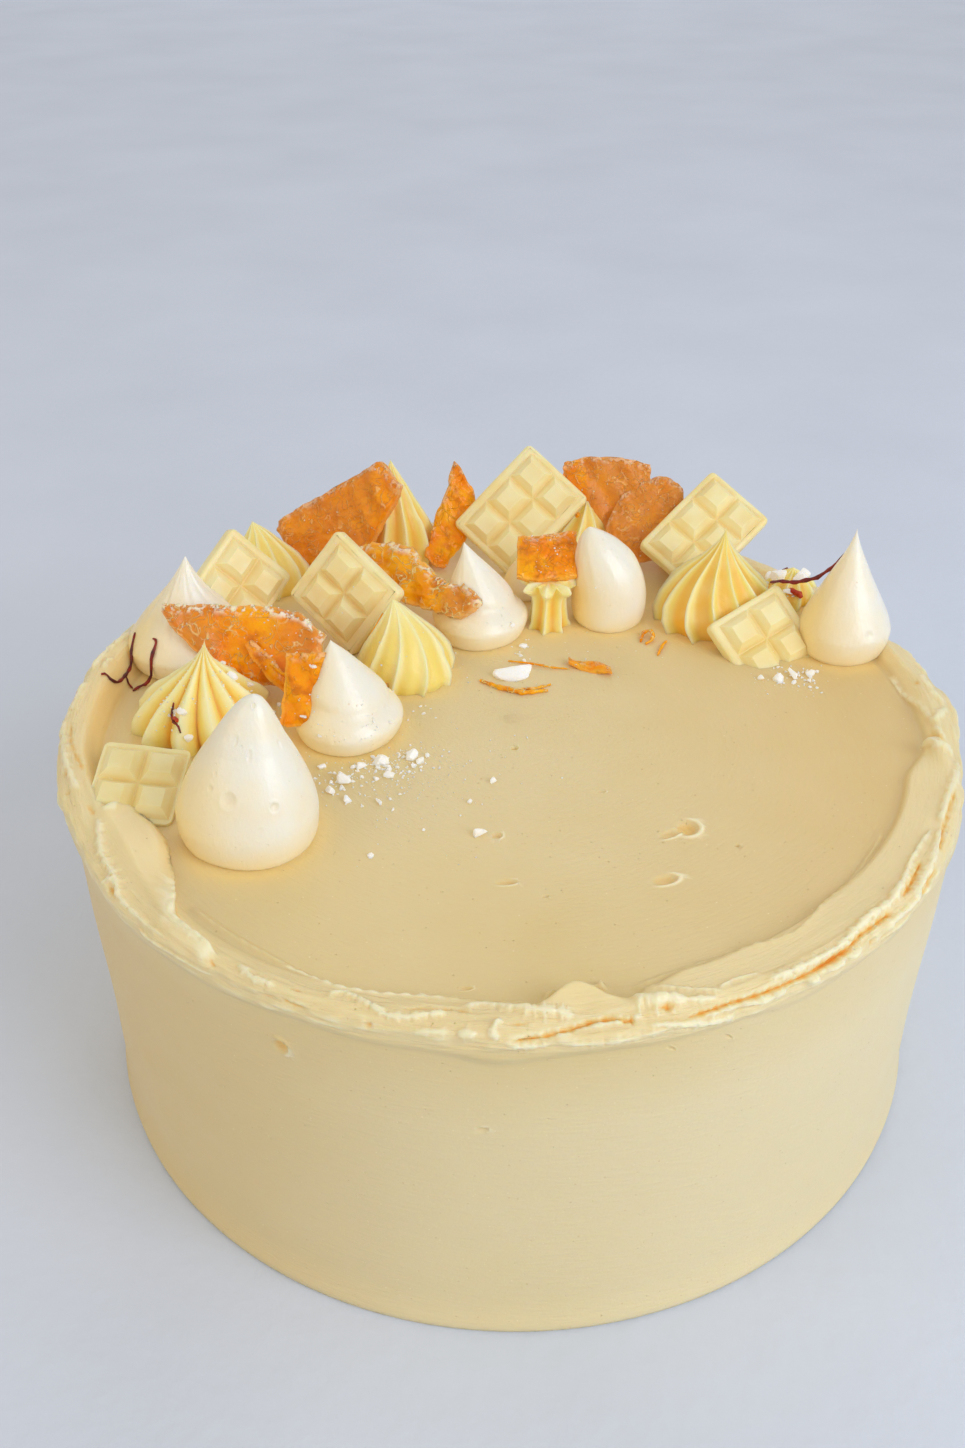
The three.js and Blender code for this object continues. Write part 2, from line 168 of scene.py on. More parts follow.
def corners_of(piece: Piece) -> Array:
    """The piece's corners in millimetres, one row each."""
    flat = np.empty(len(piece.data.vertices) * 3)
    piece.data.vertices.foreach_get("co", flat)
    return flat.reshape(-1, 3) / MM


def move_corners(piece: Piece, points: Array) -> None:
    """Puts the piece's corners at new places, in millimetres."""
    piece.data.vertices.foreach_set("co", (points * MM).ravel())
    piece.data.update()


def note(piece: Piece, name: str, values: Array) -> None:
    """Writes one number for each corner, for the finish to read."""
    attribute = piece.data.attributes.new(name, "FLOAT", "POINT")
    attribute.data.foreach_set("value", np.asarray(values, np.float32))


def select_faces(piece: Piece, wanted: Callable[[Array, Array], Array]) -> None:
    """Enters edit mode with only some faces selected.

    Args:
        piece: The piece to work on.
        wanted: Tells from the faces' centres, in millimetres, and normals which ones to select.
    """
    if piece.mode != "OBJECT":
        put_down()
    mesh = piece.data
    count = len(mesh.polygons)
    centres, normals = np.empty(count * 3), np.empty(count * 3)
    mesh.polygons.foreach_get("center", centres)
    mesh.polygons.foreach_get("normal", normals)
    chosen = wanted(centres.reshape(-1, 3) / MM, normals.reshape(-1, 3))
    mesh.vertices.foreach_set("select", np.zeros(len(mesh.vertices), bool))
    mesh.edges.foreach_set("select", np.zeros(len(mesh.edges), bool))
    mesh.polygons.foreach_set("select", chosen)
    bpy.context.tool_settings.mesh_select_mode = (False, False, True)
    bpy.ops.object.mode_set(mode="EDIT")


def select_edges(piece: Piece, wanted: Callable[[Array, Array], Array]) -> None:
    """Enters edit mode with only some edges selected.

    Args:
        piece: The piece to work on.
        wanted: Tells from the two ends of each edge, in millimetres, which ones to select.
    """
    if piece.mode != "OBJECT":
        put_down()
    mesh = piece.data
    ends = np.empty(len(mesh.edges) * 2, np.int64)
    mesh.edges.foreach_get("vertices", ends)
    corners = corners_of(piece)
    chosen = wanted(corners[ends[0::2]], corners[ends[1::2]])
    mesh.polygons.foreach_set("select", np.zeros(len(mesh.polygons), bool))
    mesh.vertices.foreach_set("select", np.zeros(len(mesh.vertices), bool))
    mesh.edges.foreach_set("select", chosen)
    bpy.context.tool_settings.mesh_select_mode = (False, True, False)
    bpy.ops.object.mode_set(mode="EDIT")


def spun(name: str, profile: Sequence[Point2], steps: int) -> Piece:
    """Turns a profile round the Z axis.

    Args:
        name: The piece's name.
        profile: Radius and height of each point, from one pole to the other.
        steps: How many columns the turned body has.

    Returns:
        The closed body, in object mode, with its normals outwards.
    """
    clear_selection()
    bpy.ops.mesh.primitive_plane_add(size=2 * MM)
    piece = bpy.context.object
    piece.name = name
    bpy.context.tool_settings.mesh_select_mode = (True, False, False)
    open_up()
    bpy.ops.mesh.merge(type="CENTER")
    bpy.ops.transform.translate(value=(profile[0][0] * MM, 0, profile[0][1] * MM))
    for start, end in pairwise(profile):
        step = ((end[0] - start[0]) * MM, 0, (end[1] - start[1]) * MM)
        bpy.ops.mesh.extrude_region_move(TRANSFORM_OT_translate={"value": step})
    bpy.ops.mesh.select_all(action="SELECT")
    bpy.ops.mesh.spin(steps=steps, angle=math.tau, center=(0, 0, 0), axis=(0, 0, 1))
    weld()
    return piece


def finish_with(piece: Piece, kind: str, **settings: object) -> None:
    """Adds one modifier and applies it.

    Args:
        piece: The piece to work on.
        kind: The modifier's type.
        settings: The modifier's values.
    """
    take_up(piece)
    modifier = piece.modifiers.new(kind.title(), kind)
    for key, value in settings.items():
        setattr(modifier, key, value)
    bpy.ops.object.modifier_apply(modifier=modifier.name)


def smooth_over(piece: Piece, crease: float | None = None) -> None:
    """Shades the piece smooth, but for edges sharper than the crease angle."""
    take_up(piece)
    if crease is None:
        bpy.ops.object.shade_smooth()
    else:
        bpy.ops.object.shade_smooth_by_angle(angle=math.radians(crease))


def joined(name: str, parts: Sequence[tuple[Array, Array]]) -> Piece:
    """Makes one piece of many small bodies.

    Args:
        name: The piece's name.
        parts: Corners in millimetres and faces of each body, all faces with as many corners.

    Returns:
        The joined piece.
    """
    corners, faces, count = [], [], 0
    for points, sides in parts:
        corners.append(points)
        faces.append(sides + count)
        count += len(points)
    mesh = bpy.data.meshes.new(name)
    mesh.from_pydata((np.concatenate(corners) * MM).tolist(), [], np.concatenate(faces).tolist())
    mesh.update()
    piece = bpy.data.objects.new(name, mesh)
    bpy.context.scene.collection.objects.link(piece)
    smooth_over(piece)
    return piece


def hand_over(piece: Piece, material: Material, slot: str, *nodes: str) -> None:
    """Dresses a finished piece, ties it to the cake's body and reports it.

    Args:
        piece: The finished piece.
        material: Its finish.
        slot: Not used.
        nodes: The solids that it stands for.
    """
    piece.data.materials.clear()
    piece.data.materials.append(material)
    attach(piece, ROOT)
    if nodes:
        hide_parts(*nodes)
    log.info("%s: %d faces", piece.name, len(piece.data.polygons))


@dataclass(frozen=True)
class Lean:
    """How a flat piece leans: its face looks along azimuth and elevation, rolled in its own plane."""

    at: Point3
    azimuth: float
    elevation: float
    roll: float = 0.0

    def matrix(self) -> Matrix:
        """The turn and place, in metres, with the place given from the cake's top."""
        facing = towards(self.azimuth, self.elevation)
        sideways = Vector((0, 0, 1)).cross(facing).normalized()
        upwards = facing.cross(sideways)
        turn = Matrix((sideways, upwards, facing)).transposed().to_4x4()
        x, y, z = self.at
        roll = Matrix.Rotation(math.radians(self.roll), 4, "Z")
        return Matrix.Translation(Vector((x, y, TOP + z)) * MM) @ turn @ roll

    def settle(self, piece: Piece) -> None:
        """Brings a piece modelled flat at the origin to its place, in its mesh."""
        take_up(piece)
        piece.matrix_world = self.matrix()
        bpy.ops.object.transform_apply(location=True, rotation=True, scale=True)


# Finishes

class Recipe:
    """Wires the nodes of one material."""

    def __init__(self, name: str) -> None:
        """Starts a material with a Principled shader."""
        self.material = bpy.data.materials.new(name)
        self.material.use_nodes = True
        self.tree = self.material.node_tree
        self.shader = self.tree.nodes["Principled BSDF"]
        self.place = self.tree.nodes.new("ShaderNodeTexCoord").outputs["Object"]
        self.colour: Socket | None = None
        self.normal: Socket | None = None

    def feed(self, socket: Socket, value: object) -> None:
        """Links an output to a socket, or sets its value, where text is a screen colour."""
        if isinstance(value, Socket):
            self.tree.links.new(value, socket)
        else:
            socket.default_value = paint(value) if isinstance(value, str) else value

    def node(
        self, kind: str, inputs: dict[int | str, object] | None = None, **settings: object
    ) -> bpy.types.Node:
        """Adds a node.

        Args:
            kind: The node's type, without its ShaderNode prefix.
            inputs: What goes into its sockets, by name or number.
            settings: Its other values.

        Returns:
            The new node.
        """
        made = self.tree.nodes.new("ShaderNode" + kind)
        for key, value in settings.items():
            setattr(made, key, value)
        for key, value in (inputs or {}).items():
            self.feed(made.inputs[key], value)
        return made

    def attribute(self, name: str) -> Socket:
        """A number that the mesh carries for each corner."""
        return self.node("Attribute", attribute_name=name, attribute_type="GEOMETRY").outputs["Fac"]

    def stretched(self, scale: Point3, turn: float = 0.0, source: Socket | None = None) -> Socket:
        """Pattern coordinates scaled along each axis and turned about Z."""
        settings = {"Vector": source or self.place, "Scale": scale, "Rotation": (0, 0, math.radians(turn))}
        return self.node("Mapping", settings).outputs[0]

    def noise(
        self, pitch: float, detail: float = 3.0, vector: Socket | None = None, rough: float = 0.5
    ) -> Socket:
        """Cloudy noise whose swells are about pitch millimetres wide."""
        settings = {"Scale": 1 / (pitch * MM), "Detail": detail, "Roughness": rough}
        return self.node("TexNoise", {"Vector": vector or self.place, **settings}).outputs["Fac"]

    def cells(self, pitch: float) -> Socket:
        """Distance to scattered points about pitch millimetres apart."""
        settings = {"Vector": self.place, "Scale": 1 / (pitch * MM)}
        return self.node("TexVoronoi", settings).outputs["Distance"]

    def spread(
        self, value: Socket, low: float, high: float, start: float = 0.0, end: float = 1.0
    ) -> Socket:
        """Stretches the values from low to high over start to end, and holds them there."""
        settings = {"Value": value, "From Min": low, "From Max": high, "To Min": start, "To Max": end}
        return self.node("MapRange", settings).outputs["Result"]

    def sum(self, first: Socket, second: object, kind: str = "ADD") -> Socket:
        """Adds, multiplies or otherwise joins two numbers."""
        return self.node("Math", {0: first, 1: second}, operation=kind).outputs[0]

    def times(self, first: Socket, second: object) -> Socket:
        """Multiplies two numbers."""
        return self.sum(first, second, "MULTIPLY")

    def blend(self, share: Socket, base: object, over: object) -> Socket:
        """Lays one colour over another by a share."""
        return self.node("Mix", {0: share, 6: base, 7: over}, data_type="RGBA").outputs[2]

    def lay(self, share: Socket, over: object) -> None:
        """Lays one more colour over the colour so far, by a share."""
        self.colour = self.blend(share, self.colour, over)

    def relief(self, height: Socket, depth: float) -> None:
        """Adds bump of the given depth in millimetres to the bump so far."""
        settings = {"Height": height, "Distance": depth * MM}
        if self.normal is not None:
            settings["Normal"] = self.normal
        self.normal = self.node("Bump", settings).outputs["Normal"]

    def finish(self, **sockets: object) -> Material:
        """Feeds the shader the colour, the bump and other sockets, with underscores in their names."""
        for key, value in {"Base_Color": self.colour, "Normal": self.normal, **sockets}.items():
            self.feed(self.shader.inputs[key.replace("_", " ")], value)
        return self.material


@dataclass(frozen=True)
class IcingFinish:
    """Smoothed buttercream with fine streaks of the palette knife, amber painted shade in its crevices and
    dents, painted highlights on its crests, painted light and shade on its side and top, and painted warm
    light round the toppings.
    """

    pale: str = "ead6a4"
    warm: str = "e4cb8d"
    # Painted light: the side is painted paler towards the lamps.
    side: str = "ecdcb0"
    # Painted shade: the right of the top is painted darker and warmer.
    shaded_right_top: str = "e4c17c"
    # Painted shade: the side is painted darker away from the lamps.
    shaded: str = "dfbf82"
    risen: str = "f9e5b0"
    # Painted highlight on the glints and crests.
    crest: str = "fff2cc"
    # This colour and the next are painted shade, laid in the crevices, hollows and dents.
    hollow_shade: str = "f8ca6c"
    deep: str = "fbae3c"
    # Painted warm light round the feet of the toppings.
    glow: str = "ffe296"
    speck: str = "cfa565"

    def make(self) -> Material:
        """Builds the material."""
        mix = Recipe("swept_buttercream")
        sweep = mix.node("UVMap", uv_map="Sweep").outputs[0]
        cloud = mix.spread(mix.noise(60, 3), 0.35, 0.68, 0, 0.8)
        mix.colour = mix.blend(cloud, self.pale, self.warm)
        across = mix.node("SeparateXYZ", {0: sweep}).outputs[1]
        spot = mix.node("SeparateXYZ", {0: mix.place})
        eastward, upward = spot.outputs[0], spot.outputs[2]
        # Painted light and painted shade on the side, by how it faces the lamps.
        towards_light = mix.spread(eastward, -0.095, 0.039, 0.1, 0.8)
        lit_side_share = mix.times(mix.spread(across, 0.108, 0.130), towards_light)
        mix.lay(lit_side_share, self.side)
        from_light = mix.spread(eastward, -0.011, -0.098, 0, 0.6)
        shaded_side_share = mix.times(mix.spread(across, 0.108, 0.118), from_light)
        mix.lay(shaded_side_share, self.shaded)
        # Painted shade over the right of the top.
        right_top_shade_share = mix.times(mix.spread(eastward, 0.02, 0.08, 0, 0.6), mix.spread(across, 0.100, 0.094))
        mix.lay(right_top_shade_share, self.shaded_right_top)
        dark = mix.spread(mix.cells(2.6), 0.10, 0.06)
        dark = mix.times(dark, mix.spread(mix.noise(7, 1), 0.52, 0.6))
        mix.lay(mix.times(dark, 0.4), self.speck)
        hollow = mix.attribute("hollow")
        on_crown = mix.sum(mix.spread(upward, 0.0902, 0.0914), mix.spread(across, 0.0985, 0.1), "MAXIMUM")
        on_crown = mix.times(on_crown, mix.spread(across, 0.1095, 0.1072, 0, 0.8))
        mix.lay(on_crown, self.risen)
        # Painted highlights: scattered glints, and paler crests where the relief stands out.
        glint = mix.times(mix.spread(mix.cells(2.3), 0.09, 0.04), mix.spread(mix.noise(9, 2), 0.46, 0.54))
        mix.lay(mix.times(glint, 0.6), self.crest)
        mix.lay(mix.spread(mix.attribute("crest"), 0.05, 0.6, 0, 0.9), self.crest)
        # Painted shade in the crevices, hollows and dents, and the painted glow at the left of the rim.
        mix.lay(mix.spread(hollow, 0.2, 0.95, 0, 0.8), self.hollow_shade)
        mix.lay(mix.spread(hollow, 0.95, 1.35, 0, 0.85), self.deep)
        # Painted warm light round the feet of the toppings.
        mix.lay(mix.attribute("contact"), self.glow)
        rising = mix.noise(0.8, 4, mix.stretched((0.14, 1.0, 1.0), 24, sweep), 0.6)
        falling = mix.noise(0.8, 4, mix.stretched((0.14, 1.0, 1.0), -40, sweep), 0.6)
        right = mix.spread(eastward, -0.02, 0.01)
        streak = mix.node("Mix", {0: right, 2: falling, 3: rising}, data_type="FLOAT").outputs[0]
        swept = mix.attribute("swept")
        drawn = mix.noise(1.5, 5, mix.stretched((0.09, 1.0, 1.0), 0, sweep), 0.66)
        bubble = mix.times(mix.spread(mix.cells(1.7), 0.12, 0.03), mix.spread(mix.noise(4, 2), 0.55, 0.6))
        mix.relief(streak, 0.18)
        mix.relief(mix.times(drawn, swept), 0.7)
        mix.relief(mix.noise(0.7, 3), 0.05)
        mix.relief(bubble, -0.3)
        sheen = mix.spread(mix.noise(14, 2), 0.3, 0.7, 0.40, 0.50)
        sheen = mix.sum(sheen, mix.times(on_crown, 0.14), "SUBTRACT")
        return mix.finish(
            Roughness=sheen, Subsurface_Weight=0.4,
            Subsurface_Radius=(1.0, 0.66, 0.28), Subsurface_Scale=0.0022, Specular_IOR_Level=0.45,
        )


@dataclass(frozen=True)
class MeringueFinish:
    """Satin meringue, near white, with pin holes, painted warm shade as a cream foot and lower left side, and
    a faint painted glow.
    """

    white: str = "f3f0e4"
    cream_and_warm_shade: str = "ffdd90"
    roughness: float = 0.36
    glow: float = 0.04  # painted glow, standing in for light that comes through

    def make(self) -> Material:
        """Builds the material."""
        mix = Recipe("satin_meringue")
        low = mix.attribute("low")
        # Painted warm shade: cream at the foot and on the lower left side, as the low attribute says.
        mix.colour = mix.blend(mix.spread(low, 0.0, 1.0, 0.0, 0.85), self.white, self.cream_and_warm_shade)
        mix.lay(mix.spread(mix.noise(11, 2), 0.4, 0.7, 0, 0.22), self.cream_and_warm_shade)
        toasted = mix.spread(mix.cells(5.2), 0.06, 0.03, 0, 0.35)
        mix.lay(toasted, "d9b277")
        hole = mix.spread(mix.cells(1.9), 0.13, 0.04)
        sparse = mix.spread(mix.noise(5, 1), 0.5, 0.58)
        drawn = mix.noise(0.9, 4, mix.stretched((1.0, 1.0, 0.3)), 0.6)
        mix.relief(mix.noise(4.2, 3), 0.14)
        mix.relief(drawn, 0.16)
        mix.relief(mix.noise(1.4, 3), 0.1)
        mix.relief(mix.times(hole, sparse), -0.16)
        return mix.finish(
            Roughness=self.roughness, Subsurface_Weight=0.55,
            Subsurface_Radius=(1.0, 0.85, 0.6), Subsurface_Scale=0.004, Specular_IOR_Level=0.6,
            Coat_Weight=0.4, Coat_Roughness=0.2, Emission_Color=mix.colour, Emission_Strength=self.glow,
        )


@dataclass(frozen=True)
class SwirlFinish:
    """Piped buttercream: pale along its ridges, with painted shade in deep yellow down in its flutes."""

    pale: str = "fff3bc"
    yellow: str = "ffe076"
    deep: str = "ffba32"

    def make(self) -> Material:
        """Builds the material."""
        mix = Recipe("piped_buttercream")
        # Painted shade: deep yellow down in the flutes.
        flute_shade = mix.attribute("flute_shade")
        mix.colour = mix.blend(mix.spread(flute_shade, 0.02, 0.45), self.pale, self.yellow)
        mix.lay(mix.spread(flute_shade, 0.55, 1.15, 0, 0.85), self.deep)
        mix.lay(mix.spread(mix.noise(7, 2), 0.45, 0.7, 0, 0.25), self.pale)
        mix.relief(mix.noise(1.6, 4), 0.14)
        mix.relief(mix.noise(0.5, 2), 0.03)
        return mix.finish(
            Roughness=0.38, Subsurface_Weight=0.5,
            Subsurface_Radius=(1.0, 0.7, 0.2), Subsurface_Scale=0.004, Specular_IOR_Level=0.5,
        )


@dataclass(frozen=True)
class ChocolateFinish:
    """Moulded white chocolate with a satin face and warmer painted shade down in its grooves."""

    face: str = "fcedb8"
    edge: str = "f8e3a2"
    # Painted shade in the grooves between the pips.
    groove: str = "f0d070"

    def make(self) -> Material:
        """Builds the material."""
        mix = Recipe("white_chocolate")
        mix.colour = mix.blend(mix.spread(mix.noise(8, 2), 0.4, 0.65), self.face, self.edge)
        # Painted shade down in the grooves.
        mix.lay(mix.spread(mix.attribute("groove"), 0.2, 1.0, 0, 0.5), self.groove)
        bloom = mix.spread(mix.noise(1.2, 4), 0.6, 0.75, 0, 0.25)
        mix.lay(bloom, "fcf5dc")
        mix.relief(mix.noise(3.4, 3), 0.14)
        mix.relief(mix.noise(0.6, 3), 0.022)
        sheen = mix.spread(mix.noise(3, 3), 0.3, 0.7, 0.32, 0.44)
        return mix.finish(
            Roughness=sheen, Subsurface_Weight=0.45,
            Subsurface_Radius=(1.0, 0.7, 0.3), Subsurface_Scale=0.0025, Specular_IOR_Level=0.5,
        )


@dataclass(frozen=True)
class MangoFinish:
    """Candied mango: glassy orange with pale winding fibres, browner where it has dried."""

    name: str
    bright: str
    deep: str
    vein: str
    vein_share: float = 0.35
    roughness: float = 0.28
    dark: str = "cc6c08"
    brown: str = "d98a36"
    frosting: float = 0.3  # how much sugar lies along its upper edge
    glow: float = 0.07  # painted glow, standing in for light that comes through the slice
    sugar: str = "fff3dc"

    def make(self) -> Material:
        """Builds the material."""
        mix = Recipe(self.name)
        mix.colour = mix.blend(mix.spread(mix.noise(7, 4), 0.36, 0.62), self.bright, self.deep)
        mix.lay(mix.spread(mix.noise(4, 3), 0.52, 0.68, 0, 0.75), self.dark)
        dull = mix.times(mix.attribute("dry"), mix.spread(mix.noise(6, 3), 0.35, 0.62, 0.5, 1.0))
        mix.lay(dull, self.brown)
        veins = []
        for pitch, narrow in ((5.5, 0.022), (3.2, 0.028)):
            winding = {"Vector": mix.place, "Scale": 1 / (pitch * MM), "Detail": 0.6, "Distortion": 1.0}
            level = mix.sum(mix.node("TexNoise", winding).outputs["Fac"], 0.5, "SUBTRACT")
            veins.append(mix.spread(mix.sum(level, 0, "ABSOLUTE"), narrow, 0.0))
        broken = mix.spread(mix.noise(4.5, 2), 0.4, 0.55)
        vein = mix.times(mix.sum(*veins, "MAXIMUM"), broken)
        mix.lay(mix.times(vein, self.vein_share), self.vein)
        grain = mix.times(mix.spread(mix.cells(1.6), 0.2, 0.12), mix.spread(mix.noise(3, 2), 0.55, 0.62))
        mix.lay(mix.times(grain, 0.6), self.sugar)
        crust = mix.times(mix.attribute("frost"), mix.spread(mix.noise(1.6, 3), 0.46, 0.56))
        mix.lay(mix.times(crust, self.frosting), self.sugar)
        mix.lay(mix.spread(mix.attribute("rim"), 0.6, 1.0, 0, 0.25), self.vein)
        mix.relief(mix.noise(1.5, 4), 0.35)
        mix.relief(vein, 0.25)
        mix.relief(mix.sum(grain, crust), 0.3)
        sheen = mix.spread(mix.noise(2.5, 3), 0.35, 0.7, self.roughness - 0.1, self.roughness + 0.16)
        return mix.finish(
            Roughness=sheen, Subsurface_Weight=0.4,
            Subsurface_Radius=(1.0, 0.5, 0.08), Subsurface_Scale=0.001, Specular_IOR_Level=0.25,
            Coat_Weight=0.07, Coat_Roughness=0.14, Emission_Color=mix.colour, Emission_Strength=self.glow,
        )


@dataclass(frozen=True)
class CrumbFinish:
    """Broken dry meringue: bright white and slightly translucent, with a faint painted glow."""

    glow: float = 0.09  # painted glow, standing in for light that comes through the thin chips

    def make(self) -> Material:
        """Builds the material."""
        mix = Recipe("dry_meringue")
        mix.colour = mix.blend(mix.spread(mix.noise(2.0, 3), 0.45, 0.75), "fffefa", "fbf3e0")
        mix.relief(mix.noise(0.5, 4), 0.18)
        return mix.finish(
            Roughness=0.55, Subsurface_Weight=0.7,
            Subsurface_Radius=(1.0, 0.9, 0.75), Subsurface_Scale=0.002,
            Emission_Color=mix.colour, Emission_Strength=self.glow,
        )


@dataclass(frozen=True)
class SaffronFinish:
    """Dried saffron: dark crimson with a brighter orange end."""

    name: str = "saffron"
    dark: str = "560a16"
    light: str = "93200f"

    def make(self) -> Material:
        """Builds the material."""
        mix = Recipe(self.name)
        mix.colour = mix.blend(mix.spread(mix.noise(2.5, 2), 0.4, 0.65), self.dark, self.light)
        mix.relief(mix.noise(0.4, 3), 0.08)
        return mix.finish(
            Roughness=0.45, Subsurface_Weight=0.1, Subsurface_Scale=0.001
        )


@dataclass(frozen=True)
class StageFinish:
    """Pale matt plaster for the floor."""

    light: str = "dae2f3"
    dark: str = "d4dced"

    def make(self) -> Material:
        """Builds the material."""
        mix = Recipe("pale_plaster")
        mix.colour = mix.blend(mix.spread(mix.noise(120, 4), 0.35, 0.7), self.light, self.dark)
        mix.relief(mix.noise(6, 4), 0.3)
        return mix.finish(Roughness=0.8)


# The iced cake

class Mark(Enum):
    """What the palette knife left in the swept icing."""

    RIDGE = "ridge"
    CREVICE = "crevice"
    SHEET = "sheet"  # raised on its outer side, with a sharp inner edge


@dataclass(frozen=True)
class Stroke:
    """One mark: its line as azimuth and distance across, its width, and how high or deep it is."""

    mark: Mark
    line: tuple[Point2, ...]
    width: float
    height: float
    hollow_shade: float = 0.0  # how much painted shade lies along it
    run: float = 4.0  # how far a sheet stays raised


R, C, S = Mark.RIDGE, Mark.CREVICE, Mark.SHEET

